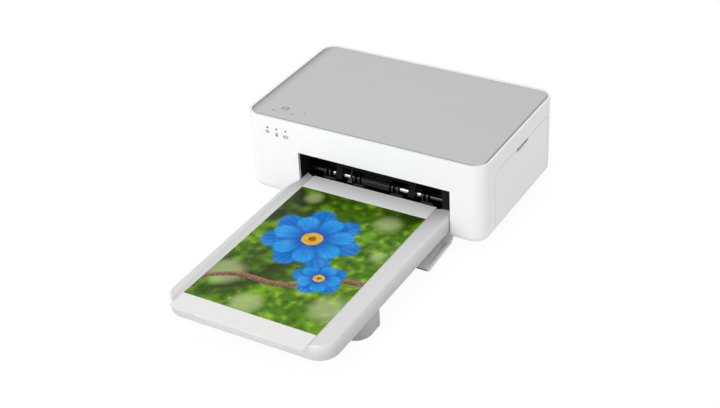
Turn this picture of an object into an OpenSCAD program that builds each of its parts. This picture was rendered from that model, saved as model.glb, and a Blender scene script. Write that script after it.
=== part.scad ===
// Compact photo printer with its paper tray in place, its front flap open
// and a finished print lying on the tray.
// Origin: centre of the whole outline, on the table. +X is right, +Y is back,
// +Z is up, and the printer's front face looks along -Y.
// Inside the modules, place() moves to the machine's own corner: y = 0 is the
// front face and z = 0 is the bottom edge of the shell.

/* [Shell] */
// Width of the shell to the left of the front opening
left_bay = 45.05; // [42:0.05:50]
// Width of the shell to the right of the front opening
right_bay = 25.85; // [24:0.05:30]
// Distance of the back face behind the thermal head's pivot
back_room = 11; // [10:0.1:14]
// Room between the spool tubes and the raised head's arms
arm_room = 4.9; // [4.6:0.1:6]
// Height of the shell's bottom edge above the table
stand_h = 8; // [7.6:0.2:10]
// Radius of the upright corners
corner_r = 12; // [9:0.5:14]
// Radius of the rounded bottom edge
edge_r = 7; // [6:0.25:8]
// Thickness of the shell's walls
wall = 2.4; // [2:0.1:2.8]
// Width of the rim around the top panel
rim_w = 1.75; // [1.2:0.05:3]
// Thickness of the top panel
panel_t = 2; // [1.5:0.1:2.5]
// Depth of the top panel's face below the rim
panel_drop = 0.2; // [0:0.05:0.5]
// Gap between the top panel and the rim
panel_gap = 0.25; // [0.1:0.05:0.4]

/* [Mouth and flap] */
// Distance of the paper's left edge from the left side of the front opening
paper_left = 4.4; // [4:0.1:6]
// Distance of the paper's right edge from the right side of the front opening
paper_right = 17.6; // [12:0.1:20]
// Height of the opening above the shell's bottom edge
mouth_h = 40; // [37:0.5:42]
// Thickness of the flap at its raised border
flap_t = 2; // [1.8:0.1:2.4]
// Height of the flap's raised border above its inner face
flap_lip = 0.7; // [0.4:0.1:0.9]
// Width of the flap's raised border
flap_border = 1.6; // [1.2:0.1:2.5]
// Angle between the closed flap and its open rest position
flap_open = 94.5; // [92:0.1:95]
// Distance of the flap's hinge axis behind the front face
flap_axis_y = 6; // [5.5:0.1:6.5]
// Height of the flap's hinge axis above the shell's bottom edge
flap_axis_z = 1.1; // [0.9:0.1:1.3]
// Gap between the flap and the edges of the opening
flap_gap = 0.4; // [0.3:0.05:0.6]

/* [Cartridge door] */
// Distance of the door's front seam behind the front face
door_y = 19.5; // [18:0.5:22]
// Distance of the door's back seam in front of the back face
door_back = 12.5; // [12:0.5:18]
// Distance of the door's top seam below the rim
door_drop = 13; // [11:0.25:15]
// Radius of the door's upper corners
door_r = 5; // [3:0.25:7]
// Seam between the door and the shell
door_gap = 0.35; // [0.3:0.05:0.5]
// Distance of the finger slot behind the door's front edge
slot_y = 35.5; // [30:0.5:40]
// Length of the finger slot
slot_l = 19; // [15:0.5:22]
// Height of the finger slot
slot_h = 2.5; // [2:0.1:4]

/* [Controls] */
// Distance of the power button's axis from the shell's left side
button_in = 26.05; // [24:0.05:28]
// Distance of the power button's axis behind the front face
button_y = 17; // [15:0.2:19]
// Radius of the power button
button_r = 3; // [2.6:0.1:4]
// Travel of the power button
button_travel = 0.8; // [0.4:0.1:0.8]
// Distance of the middle light from the shell's left side
light_in = 27.95; // [26:0.05:30]
// Spacing of the three lights
light_pitch = 7.7; // [6.5:0.1:8.5]
// Distance of the lights below the rim
light_drop = 8.7; // [7:0.1:10]
// Radius of the lights
light_r = 0.72; // [0.5:0.02:0.8]

/* [Paper tray] */
// Reach of the tray into the printer
tray_in = 38; // [36:0.5:40]
// Gap between the tray and each edge of the opening
tray_gap = 0.6; // [0.5:0.1:1.2]
// Height of the tray's underside above the shell's bottom edge
tray_z = 6.1; // [5.9:0.1:6.5]
// Height of the tray, underside to rim
tray_h = 12.5; // [12:0.1:13]
// Height of the lower tray, underside to the cover's seam
tub_h = 6.9; // [6.7:0.1:7.1]
// Extra width of the tray's left side in front of the printer
shoulder_w = 4.6; // [2:0.2:6]
// Length of the slanted start of that extra width
shoulder_l = 14; // [8:0.5:20]
// Radius of the tray's front corners
tray_r = 14; // [10:0.5:18]
// Thickness of the tray's side walls
tray_wall = 1.8; // [1.4:0.1:2]
// Thickness of the tray's floor
tray_floor = 1.2; // [1:0.1:1.3]
// Thickness of the cover under the dish
lid_t = 1.8; // [1.4:0.1:1.9]
// Depth of the dish below the rim at its back end
dish_h = 3.4; // [3:0.1:3.5]
// Width of the level rim beside the dish
rim_flat = 2.4; // [1:0.1:4]
// Distance of the foot's back face in front of the front face
foot_y = 99.5; // [90:0.5:110]
// Depth of the foot, back to front
foot_d = 23.5; // [16:0.5:30]
// Radius of the foot's front corners
foot_r = 12; // [6:0.5:14]
// Distance of the foot inside the tray's sides
foot_in = 1.1; // [0.5:0.1:4]

/* [Paper] */
// Width of the paper
paper_w = 101.6; // [100:0.1:102]
// Length of a sheet with its two tear-off ends
paper_l = 182; // [178:0.5:184]
// Thickness of the finished print
print_t = 0.3; // [0.2:0.05:0.4]
// Distance of the print's back edge behind the front face
print_in = 11.5; // [9:0.5:11.5]
// Overhang of the print's front edge beyond the tray
print_over = 4.1; // [3:0.1:6]
// Height of the print's front edge above its back edge
print_rise = 2.3; // [2:0.1:3.2]
// Thickness of the paper stack in the tray
stack_t = 2.4; // [0.5:0.1:2.4]

/* [Paper path] */
// Distance of the exit roller's axis behind the front face
exit_y = 16; // [15.6:0.1:16.4]
// Radius of the ribbed exit roller
exit_r = 4.6; // [4.2:0.1:4.8]
// Distance of the pickup roller's axis behind the exit roller's
pick_gap = 15; // [14.4:0.1:16]
// Radius of the pickup roller
pick_r = 4; // [3.8:0.1:4.1]
// Distance of the feed roller's axis behind the pickup roller's
feed_gap = 25; // [24:0.1:26]
// Radius of the feed roller
feed_r = 3.5; // [3.2:0.1:3.7]
// Radius of the platen roller
platen_r = 6.5; // [6:0.1:6.8]
// Height of the printing path above the shell's bottom edge
path_z = 25; // [24.8:0.1:25.2]
// Length of the rollers beyond each edge of the paper
roller_over = 3; // [2:0.2:4]
// Radius of the roller shafts
shaft_r = 2; // [1.8:0.05:2.1]
// Radial running clearance of shafts in their bushes
run_gap = 0.06; // [0.03:0.01:0.1]

/* [Drive] */
// Gear module, pitch diameter over teeth
gear_m = 0.6; // [0.59:0.005:0.61]
// Width of the gears
gear_w = 3.6; // [3:0.1:4]
// Radius of the motor
motor_r = 12; // [10:0.5:12.5]
// Length of the motor
motor_l = 20; // [16:0.5:21]

/* [Ribbon cartridge] */
// Distance between the two spool axes
spool_pitch = 44; // [43.5:0.1:44.5]
// Outer radius of the spool tubes
tube_r = 9.2; // [9:0.1:9.4]
// Wall thickness of the spool tubes
tube_t = 0.8; // [0.6:0.1:1]
// Radius of the full ribbon roll
roll_r = 7.5; // [6:0.1:7.6]
// Radius of the used ribbon roll
used_r = 5; // [4.2:0.1:7]
// Radius of the spool cores
core_r = 3.4; // [3:0.1:3.8]

/* [Thermal head] */
// Length of the head bar front to back
head_d = 8; // [7:0.2:9]
// Distance of the platen's axis behind the raised head
head_back = 6.5; // [6:0.1:7]
// Height of the raised head's face above the printing path
head_lift = 11.5; // [11.2:0.1:12]
// Gap between the take-up spool's tube and the raised head
head_gap = 0.8; // [0.6:0.1:1.2]

/* [Hidden] */
$fn = 64;
// Overlap that lets cuts run past a face
cut = 1;
// Gap between parts that move past each other
clear = 0.3;

// --- Paper tray and print ---
tray_out = paper_l - print_in - print_over;
lid_z = tray_z + tub_h + 0.1;
rim_z = tray_z + tray_h;
lid_back = 4;
floor_z = rim_z - dish_h;
low_wall_z = tray_z + 4.7;
plate_z = tray_z + tray_floor + 1;
lift_t = 0.6;
stack_z = plate_z + lift_t;
stack_top = stack_z + stack_t;
stack_back = tray_in - tray_wall - 0.5;
lift_axis_y = tray_in - 0.75 * paper_l - 1.5;
nip_z = floor_z + 0.1;
print_tilt = asin(print_rise / paper_l);
print_reach = paper_l * cos(print_tilt) - print_in;

// --- Rollers in front of the ribbon cartridge ---
exit_z = nip_z + print_t + 0.1 + exit_r;
idler_r = 1.4;
idler_z = nip_z - 0.05 - idler_r;
pick_y = exit_y + pick_gap;
pick_z = stack_top + clear + pick_r;
feed_y = pick_y + feed_gap;
feed_z = path_z - feed_r;
pinch_r = 3;
pinch_z = path_z + print_t + 0.1 + pinch_r;

// --- Gear train: teeth, then centres as [y, z] in the plane of the left side plate ---
platen_n = 22;
feed_n = 14;
lower_n = 20;
large_n = 42;
small_n = 18;
pick_n = 12;
exit_n = 12;
take_n = 14;
red_small_n = 12;
red_big_n = 36;
pinion_n = 10;
function gap_of(a, b) = gear_m * (a + b) / 2;
function polar(c, d, a) = c + d * [cos(a), sin(a)];
function bearing_of(a, b) = atan2(b[1] - a[1], b[0] - a[0]);
// Point at distances da and db from a and b, on the left of the line a to b
function apex(a, b, da, db) =
    let (d = norm(b - a), u = (b - a) / d, s = (da * da - db * db + d * d) / (2 * d))
    a + s * u + sqrt(max(0, da * da - s * s)) * [-u[1], u[0]];
// Turn of gear b that meshes with gear a, which is turned by ta
function mesh(a, b, ta, na, nb) =
    bearing_of(a, b) + 180 + 180 / nb - (ta - bearing_of(a, b)) * na / nb;
exit_c = [exit_y, exit_z];
pick_c = [pick_y, pick_z];
feed_c = [feed_y, feed_z];
small_c = apex(exit_c, pick_c, gap_of(exit_n, small_n), gap_of(pick_n, small_n));
large_c = apex(small_c, feed_c, gap_of(small_n, large_n), gap_of(feed_n, large_n));
// The take-up spool lies just above the pinch roller and meshes with the large idler
take_z = pinch_z + pinch_r + 0.4 + tube_r;
take_c = [large_c[0] + sqrt(pow(gap_of(large_n, take_n), 2) - pow(take_z - large_c[1], 2)), take_z];
supply_c = take_c + [spool_pitch, 0];
head_c = [take_c[0] + tube_r + head_gap + head_d / 2, path_z + head_lift];
platen_c = [head_c[0] + head_back, path_z - platen_r];
lower_c = apex(platen_c, feed_c, gap_of(platen_n, lower_n), gap_of(feed_n, lower_n));
red_c = polar(platen_c, gap_of(platen_n, red_small_n), 20);
pinion_c = polar(red_c, gap_of(red_big_n, pinion_n), 65);
platen_turn = 0;
lower_turn = mesh(platen_c, lower_c, platen_turn, platen_n, lower_n);
feed_turn = mesh(lower_c, feed_c, lower_turn, lower_n, feed_n);
large_turn = mesh(feed_c, large_c, feed_turn, feed_n, large_n);
small_turn = mesh(large_c, small_c, large_turn, large_n, small_n);
exit_turn = mesh(small_c, exit_c, small_turn, small_n, exit_n);
pick_turn = mesh(small_c, pick_c, small_turn, small_n, pick_n);
take_turn = mesh(large_c, take_c, large_turn, large_n, take_n);
red_turn = mesh(platen_c, red_c, platen_turn, platen_n, red_small_n);
pinion_turn = mesh(red_c, pinion_c, red_turn, red_big_n, pinion_n);

// --- Shell around the mechanism ---
pivot_c = [supply_c[0] + tube_r + 5.3, take_z + tube_r + arm_room + 0.9];
arm_z = pivot_c[1] - 0.9;
deck_under = pivot_c[1] + 3.4;
deck_z = deck_under + wall;
shell_h = deck_z + panel_t + panel_drop;
body_d = pivot_c[0] + back_room;
mouth_w = paper_left + paper_w + paper_right;
body_w = left_bay + mouth_w + right_bay;
half_w = body_w / 2;
mouth_x0 = left_bay - half_w;
mouth_x1 = mouth_x0 + mouth_w;
paper_off = mouth_x0 + paper_left + paper_w / 2;
// Middle of the rollers in the mouth, a little beside the paper's
roll_shift = 1.8;
roll_mid = paper_off + roll_shift;
front_y = (max(print_reach, tray_out) - body_d) / 2;
tray_x0 = mouth_x0 + tray_gap;
tray_x1 = mouth_x1 - tray_gap;
tray_left = tray_x0 - shoulder_w;
door_axis_x = half_w - edge_r;
door_axis_z = edge_r;
door_l = body_d - door_y - door_back;
door_len = door_l - 2 * door_gap;
door_top = shell_h - door_drop - door_gap;
button_x = half_w - button_in;
light_x = half_w - light_in;
light_z = shell_h - light_drop;
pin_r = 1.2;
boss_w = 6;
boss_d = flap_axis_y + 3;
boss_l = 6;
plinth_in = 16;
pad_h = 1.5;
pad_r = 6;
plate_t = 2.2;
post_r = 3.1;
post_x = half_w - 17.6;
post_y = [10.6, body_d - 11.4];
screw_r = 1.4;
screw_head_r = 2.7;
screw_head_h = 1.4;

// --- Side plates, shafts and the planes of the gears ---
roller_l = paper_w + 2 * roller_over;
roller_x0 = paper_off - roller_l / 2;
roller_x1 = paper_off + roller_l / 2;
chassis_gap = 1.3;
side_t = 1.2;
side_x0 = mouth_x0 - chassis_gap;
side_x1 = mouth_x1 + chassis_gap;
side_z1 = deck_under - 0.8;
side_y1 = body_d - wall - 2.5;
bush_r = shaft_r + 1.2;
bush_l = 2.6;
gear_x = side_x0 - side_t - 1.6 - gear_w;
big_x = gear_x - 0.6 - gear_w;
wide_w = gear_x + gear_w - big_x;
axle_r = 1.5;
ring_t = 0.6;
cart_x0 = side_x0 + 1.6;
cart_x1 = side_x1 + 2;
cart_end = 2;

module place() {
    translate([0, front_y, stand_h]) children();
}

// ---------- Shared shapes ----------

// Rounded rectangle, front edge on y = 0
module round_rect(w, d, r) {
    translate([-w / 2 + r, 0]) square([w - 2 * r, d]);
    translate([-w / 2, r]) square([w, d - 2 * r]);
    for (x = [-w / 2 + r, w / 2 - r], y = [r, d - r]) translate([x, y]) circle(r);
}

// Upright rectangle with both bottom corners rounded
module bowl_section(span, h, r) {
    translate([0, r]) square([span, h - r]);
    translate([r, 0]) square([span - 2 * r, h]);
    for (x = [r, span - r]) translate([x, r]) circle(r);
}

// Open-topped box shape: upright corners of radius r, bottom edge of radius e
module bowl(w, d, h, r, e) {
    translate([-w / 2 + r, 0, 0]) rotate([90, 0, 90]) linear_extrude(w - 2 * r) bowl_section(d, h, e);
    translate([-w / 2, d - r, 0]) rotate([90, 0, 0]) linear_extrude(d - 2 * r) bowl_section(w, h, e);
    for (x = [-w / 2 + r, w / 2 - r], y = [r, d - r]) translate([x, y, 0]) rotate_extrude() {
        translate([0, e]) square([r, h - e]);
        square([r - e, h]);
        intersection() {
            translate([r - e, e]) circle(e);
            square([r, h]);
        }
    }
}

// Rod along X at centre c = [y, z], from x0 to x1
module rod(c, r, x0, x1) {
    translate([x0, c[0], c[1]]) rotate([0, 90, 0]) cylinder(r = r, h = x1 - x0);
}

// Prism along X of an outline drawn in [y, z]
module prism(x0, x1) {
    translate([x0, 0, 0]) rotate([90, 0, 90]) linear_extrude(x1 - x0) children();
}

// Spur gear outline with n teeth
module gear_outline(n) {
    root = gear_m * (n / 2 - 1.15);
    tip = gear_m * (n / 2 + 0.8);
    step = 360 / n;
    polygon([for (i = [0 : n - 1], p = [[root, -0.3], [tip, -0.1], [tip, 0.1], [root, 0.3]])
        p[0] * [cos((i + p[1]) * step), sin((i + p[1]) * step)]]);
}

// Spur gear around the axis c, its left face at x0, with a bore of radius bore
module gear(c, n, turn, x0, bore, w = gear_w) {
    translate([x0, c[0], c[1]]) rotate([90, 0, 90]) rotate(turn) linear_extrude(w) difference() {
        gear_outline(n);
        circle(bore);
    }
}

// Helical spring standing on z = 0: steps of a round wire joined into one tube
module coil(r, wire, h, turns) {
    steps = 14;
    sides = 6;
    n = steps * turns;
    ring = [for (i = [0 : n], k = [0 : sides - 1])
        let (a = 360 * i / steps, b = 360 * k / sides)
        [(r + wire * cos(b)) * cos(a), (r + wire * cos(b)) * sin(a),
         wire + (h - 2 * wire) * i / n + wire * sin(b)]];
    quads = [for (i = [0 : n - 1], k = [0 : sides - 1])
        let (j = (k + 1) % sides)
        [i * sides + k, (i + 1) * sides + k, (i + 1) * sides + j, i * sides + j]];
    start = [[for (k = [0 : sides - 1]) k]];
    end = [[for (k = [0 : sides - 1]) n * sides + sides - 1 - k]];
    polyhedron(points = ring, faces = concat(quads, start, end), convexity = 4);
}

// ---------- Shell ----------

module mouth_cut() {
    translate([mouth_x0, -cut, -cut]) cube([mouth_w, edge_r + 2 * cut, mouth_h + cut]);
}

module door_outline(grow) {
    w = door_len + 2 * grow;
    h = door_top + grow;
    translate([-grow, 0]) square([w, h - door_r]);
    translate([door_r - grow, 0]) square([w - 2 * door_r, h]);
    for (y = [door_r - grow, w - grow - door_r]) translate([y, h - door_r]) circle(door_r);
}

// Block that removes the side wall behind the door, with its seam
module door_cut() {
    translate([door_axis_x, door_y + door_gap, 0]) rotate([90, 0, 90])
        linear_extrude(edge_r + cut) {
            door_outline(door_gap);
            translate([-door_gap, -cut]) square([door_len + 2 * door_gap, 2 * cut]);
        }
}

module outer_shell() color("white") place() {
    difference() {
        union() {
            difference() {
                bowl(body_w, body_d, shell_h, corner_r, edge_r);
                translate([0, wall, wall])
                    bowl(body_w - 2 * wall, body_d - 2 * wall, deck_under - wall,
                        corner_r - wall, edge_r - wall);
                translate([0, edge_r, -cut])
                    linear_extrude(wall + 2 * cut)
                        round_rect(body_w - 2 * edge_r, body_d - 2 * edge_r, corner_r - edge_r);
                translate([0, rim_w, deck_z])
                    linear_extrude(shell_h)
                        round_rect(body_w - 2 * rim_w, body_d - 2 * rim_w, corner_r - rim_w);
            }
            for (x = [-post_x, post_x], y = post_y) translate([x, y, plate_t])
                cylinder(r = post_r, h = deck_under - plate_t + 0.5);
            hinge_bosses();
            board_posts();
        }
        mouth_cut();
        door_cut();
        for (x = [-post_x, post_x], y = post_y) translate([x, y, plate_t - cut])
            cylinder(r = screw_r - 0.2, h = 12 + cut);
        rod([flap_axis_y, flap_axis_z], pin_r, mouth_x0 - 5, mouth_x1 + 5);
        for (y = [door_y, door_y + door_l]) translate([door_axis_x, y, door_axis_z])
            rotate([90, 0, 0]) cylinder(r = pin_r, h = 2 * boss_l - 2, center = true);
        translate([-button_x, button_y, deck_under - cut])
            cylinder(r = button_r / 2 + clear, h = wall + 2 * cut);
        for (i = [-1, 0, 1]) translate([-light_x + i * light_pitch, -cut, light_z])
            rotate([-90, 0, 0]) cylinder(r = light_r + 0.05, h = wall + 2 * cut);
        rear_cuts();
    }
}

// Solid ends of the flap's and the door's hinges, inside the shell's rounded edge
module hinge_bosses() {
    intersection() {
        bowl(body_w, body_d, shell_h, corner_r, edge_r);
        for (x = [mouth_x0 - boss_w, mouth_x1]) translate([x, 0, 0]) cube([boss_w, boss_d, boss_w]);
    }
    for (y = [door_y, door_y + door_l + boss_l]) translate([door_axis_x, y, door_axis_z])
        rotate([90, 0, 0]) cylinder(r = edge_r - wall / 2, h = boss_l);
}

// Two posts that hold the button board under the deck
module board_posts() {
    for (x = board_hole_x) translate([x, button_y + 6, board_z + 1.2])
        cylinder(r = 2, h = deck_under - board_z - 1.2 + 0.5);
}

slot_z = path_z - 2;
slot_open = 6.5;
inlet_x = mouth_x0 - 14;
inlet_z = 13;
inlet_w = 9.4;
inlet_h = 10.4;
inlet_gap = 0.1;
vent_n = 11;
vent_pitch = 7;
vent_w = 2.4;
vent_h = 11;
vent_z = 40;
slot_over = 2;

module rear_cuts() {
    through = wall + 2 * cut;
    translate([paper_off - paper_w / 2 - slot_over, body_d - wall - cut, slot_z])
        cube([paper_w + 2 * slot_over, through, slot_open]);
    translate([inlet_x - inlet_w / 2 - inlet_gap, body_d - wall - cut, inlet_z - inlet_h / 2 - inlet_gap])
        cube([inlet_w + 2 * inlet_gap, through, inlet_h + 2 * inlet_gap]);
    for (i = [0 : vent_n - 1])
        translate([paper_off + (i - (vent_n - 1) / 2) * vent_pitch, body_d - wall - cut, vent_z])
            cube([vent_w, through, vent_h]);
}

module top_panel() color([0.72, 0.72, 0.72]) place() {
    panel_in = rim_w + panel_gap;
    difference() {
        translate([0, panel_in, deck_z]) linear_extrude(panel_t)
            round_rect(body_w - 2 * panel_in, body_d - 2 * panel_in, corner_r - panel_in);
        translate([-button_x, button_y, deck_z - cut])
            cylinder(r = button_r + clear, h = panel_t + 2 * cut);
    }
}

board_z = deck_under - 9.5;
board_hole_x = [-button_x - 9, -button_x + 9];
cap_t = panel_t - button_travel - 0.4;

module power_button() color([0.85, 0.85, 0.86]) place() {
    translate([-button_x, button_y, 0]) {
        translate([0, 0, deck_z + panel_t - cap_t]) cylinder(r = button_r, h = cap_t);
        translate([0, 0, board_z + 3.5])
            cylinder(r = button_r / 2, h = deck_z + panel_t - cap_t / 2 - board_z - 3.5);
        translate([0, 0, deck_under - clear - 1]) cylinder(r = button_r / 2 + 1, h = 1);
    }
}

module light_pipe() color([0.93, 0.93, 0.95]) place() {
    for (i = [-1, 0, 1]) translate([-light_x + i * light_pitch, 0, light_z])
        rotate([-90, 0, 0]) cylinder(r = light_r, h = 8);
    translate([-light_x - light_pitch - 1.2, 6, board_z + 2.2])
        cube([2 * light_pitch + 2.4, 1.4, light_z + 1.4 - board_z - 2.2]);
}

module button_board() color([0.05, 0.35, 0.16]) place() {
    difference() {
        translate([-button_x - 14, 5, board_z]) cube([side_x0 - side_t - 0.5 + button_x + 14, 22, 1.2]);
        for (x = board_hole_x) translate([x, button_y + 6, board_z - cut]) cylinder(r = 1.1, h = 4);
        translate([-post_x, post_y[0], board_z - cut]) cylinder(r = post_r + 0.4, h = 4);
    }
    // Push switch under the button's stem
    translate([-button_x - 3, button_y - 3, board_z + 1.2]) cube([6, 6, 1.3]);
    translate([-button_x, button_y, board_z + 2.4]) cylinder(r = 1.4, h = 0.3);
    for (i = [-1, 0, 1]) translate([-light_x + i * light_pitch - 1, 6.2, board_z + 1.1])
        cube([2, 1.2, 0.8]);
}

module base_plate() color([0.9, 0.9, 0.9]) place() {
    difference() {
        union() {
            translate([0, edge_r + 0.2, 0]) linear_extrude(plate_t)
                round_rect(body_w - 2 * edge_r - 0.4, body_d - 2 * edge_r - 0.4, corner_r - edge_r);
            translate([0, plinth_in, pad_h - stand_h]) linear_extrude(stand_h - pad_h + 0.5)
                round_rect(body_w - 2 * plinth_in, body_d - 2 * plinth_in, 6);
        }
        translate([0, plinth_in + 2, pad_h - stand_h + 2]) linear_extrude(stand_h + 2)
            round_rect(body_w - 2 * plinth_in - 4, body_d - 2 * plinth_in - 4, 4);
        // Notches for the hinge bosses, the flap's knuckles and the turning door
        translate([mouth_x0 - boss_w - clear, 0, -cut])
            cube([mouth_w + 2 * boss_w + 2 * clear, boss_d + clear, plate_t + 2 * cut]);
        translate([half_w - 2 * edge_r - 0.6, door_y - 0.5, -cut])
            cube([2 * edge_r + 1, door_l + 1, plate_t + 2 * cut]);
        translate([door_axis_x - 3.8, door_y - boss_l - clear, -cut])
            cube([edge_r, door_l + 2 * boss_l + 2 * clear, plate_t + 2 * cut]);
        for (x = [-post_x, post_x], y = post_y) translate([x, y, -cut]) {
            cylinder(r = screw_r, h = plate_t + 2 * cut);
            cylinder(r = screw_head_r + 0.1, h = screw_head_h + cut);
        }
    }
    tray_rails();
    chassis_floor();
}

// Two rails that carry the tray inside the mouth
module tray_rails() {
    for (x = [tray_x0, tray_x1 - 6]) translate([x, flap_axis_y + 3.4, 0])
        cube([6, tray_in - flap_axis_y - 3.4, tray_z - 0.2]);
}

// Bars across the open plinth that the two side plates stand on
module chassis_floor() {
    for (x = [side_x0 - side_t - 7, side_x1]) translate([x, plinth_in, pad_h - stand_h + 1])
        cube([7 + side_t, body_d - 2 * plinth_in, plate_t + stand_h - pad_h - 1]);
}

module rubber_feet() color([0.12, 0.12, 0.12]) place() {
    for (x = [-1, 1], y = [plinth_in + 10, body_d - plinth_in - 10])
        translate([x * (half_w - plinth_in - 10), y, -stand_h]) cylinder(r = pad_r, h = pad_h);
}

module base_screws() color([0.6, 0.6, 0.62]) place() {
    for (x = [-post_x, post_x], y = post_y) translate([x, y, 0.2]) {
        cylinder(r = screw_head_r, h = screw_head_h - 0.2);
        cylinder(r = screw_r - 0.2, h = 11);
    }
}

// ---------- Front flap ----------

knuckle_r = 1.9;

// The closed flap, standing in the mouth
module flap_closed() {
    x0 = mouth_x0 + flap_gap;
    w = mouth_w - 2 * flap_gap;
    top = mouth_h - flap_gap;
    difference() {
        union() {
            translate([x0, 0, edge_r]) cube([w, flap_t, top - edge_r]);
            // Rounded lower edge, from the face to the knuckles
            prism(x0, x0 + w) difference() {
                intersection() {
                    translate([edge_r, edge_r]) circle(edge_r);
                    square([flap_axis_y - 1.2, edge_r]);
                }
                translate([edge_r, edge_r]) circle(edge_r - flap_t);
            }
            rod([flap_axis_y, flap_axis_z], knuckle_r, x0, x0 + w);
        }
        // Sunk inner face inside the raised border, and the step near the free edge
        translate([x0 + flap_border, flap_t - flap_lip, edge_r])
            cube([w - 2 * flap_border, flap_t, top - edge_r - 5.4]);
        translate([x0 + flap_border, flap_t - flap_lip / 2, edge_r])
            cube([w - 2 * flap_border, flap_t, top - edge_r - flap_border]);
        rod([flap_axis_y, flap_axis_z], pin_r + run_gap, x0 - cut, x0 + 8);
        rod([flap_axis_y, flap_axis_z], pin_r + run_gap, x0 + w - 8, x0 + w + cut);
    }
}

module front_flap() color([0.93, 0.93, 0.93]) place() {
    translate([0, flap_axis_y, flap_axis_z]) rotate([flap_open, 0, 0])
        translate([0, -flap_axis_y, -flap_axis_z]) flap_closed();
}

module flap_hinge_pins() color([0.7, 0.7, 0.72]) place() {
    rod([flap_axis_y, flap_axis_z], pin_r, mouth_x0 - 5, mouth_x0 + flap_gap + 6);
    rod([flap_axis_y, flap_axis_z], pin_r, mouth_x1 - flap_gap - 6, mouth_x1 + 5);
}

// ---------- Cartridge door ----------

ear_t = 4;
module cartridge_door() color("white") place() {
    difference() {
        union() {
            intersection() {
                translate([half_w - wall, door_y + door_gap, 0]) rotate([90, 0, 90]) linear_extrude(wall)
                    door_outline(0);
                translate([0, 0, edge_r]) cube([body_w, body_d, shell_h]);
            }
            // Quarter-round lower edge, turning about the hinge axis
            translate([door_axis_x, door_y + door_gap + door_len, door_axis_z]) rotate([90, 0, 0])
                linear_extrude(door_len) difference() {
                    intersection() {
                        circle(edge_r);
                        translate([0, -edge_r]) square(edge_r);
                    }
                    circle(edge_r - wall);
                }
            for (y = [door_y + door_gap, door_y + door_gap + door_len - ear_t])
                translate([door_axis_x, y + ear_t, door_axis_z]) rotate([90, 0, 0])
                    cylinder(r = edge_r - wall / 2, h = ear_t);
            // Catch that snaps under the shell at the finger slot
            translate([half_w - wall - 2, door_y + slot_y + 2, door_top - 9]) cube([2.5, slot_l - 4, 3]);
        }
        for (y = [door_y, door_y + door_l]) translate([door_axis_x, y, door_axis_z])
            rotate([90, 0, 0]) cylinder(r = pin_r + run_gap, h = 12, center = true);
        translate([half_w - wall - cut, door_y + slot_y, door_top - slot_h])
            cube([wall + 2 * cut, slot_l, slot_h + cut]);
    }
}

module door_hinge_pins() color([0.7, 0.7, 0.72]) place() {
    for (y = [door_y, door_y + door_l]) translate([door_axis_x, y, door_axis_z])
        rotate([90, 0, 0]) cylinder(r = pin_r, h = 8, center = true);
}

// ---------- Mouth ----------

mouth_back = exit_y + 8;
// Cheek beside the paper's way: its distance from that way, and its reach before the shaft
cheek_side = 3.5;
cheek_out = 8.6;
// Fingers: distance from the rollers' middle, width, thickness, reach before the shaft and below it
finger_off = 30.1;
finger_w = 5.6;
finger_t = 2.6;
finger_out = 5.2;
finger_drop = 2.1;
// Offset of a finger's upper half behind its lower half
finger_bend = 3;
// Bar that ties the fingers: its height over the exit shaft and its thickness
tie_up = 7.3;
tie_t = 1.2;
// Fin that holds the print down: its edge from the rollers' middle, its sizes, and its reach round the shaft
fin_off = -19.3;
fin_w = 4.2;
fin_t = 1.2;
fin_d = 1.4;
fin_out = 4.6;
fin_drop = 3;
fin_up = 2.2;
ring_off = [-42.3, -38.5, -18.1, -13.9, 13.9, 18.1, 38.5, 42.3];
ring_w = 1.5;
ring_r = 4.2;
rib_l = 22.6;

hood_t = 1.6;
hood_out = 1;
exit_side = 4;
// Gap between a wall that hides behind an edge and that edge
hide = 0.4;

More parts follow.
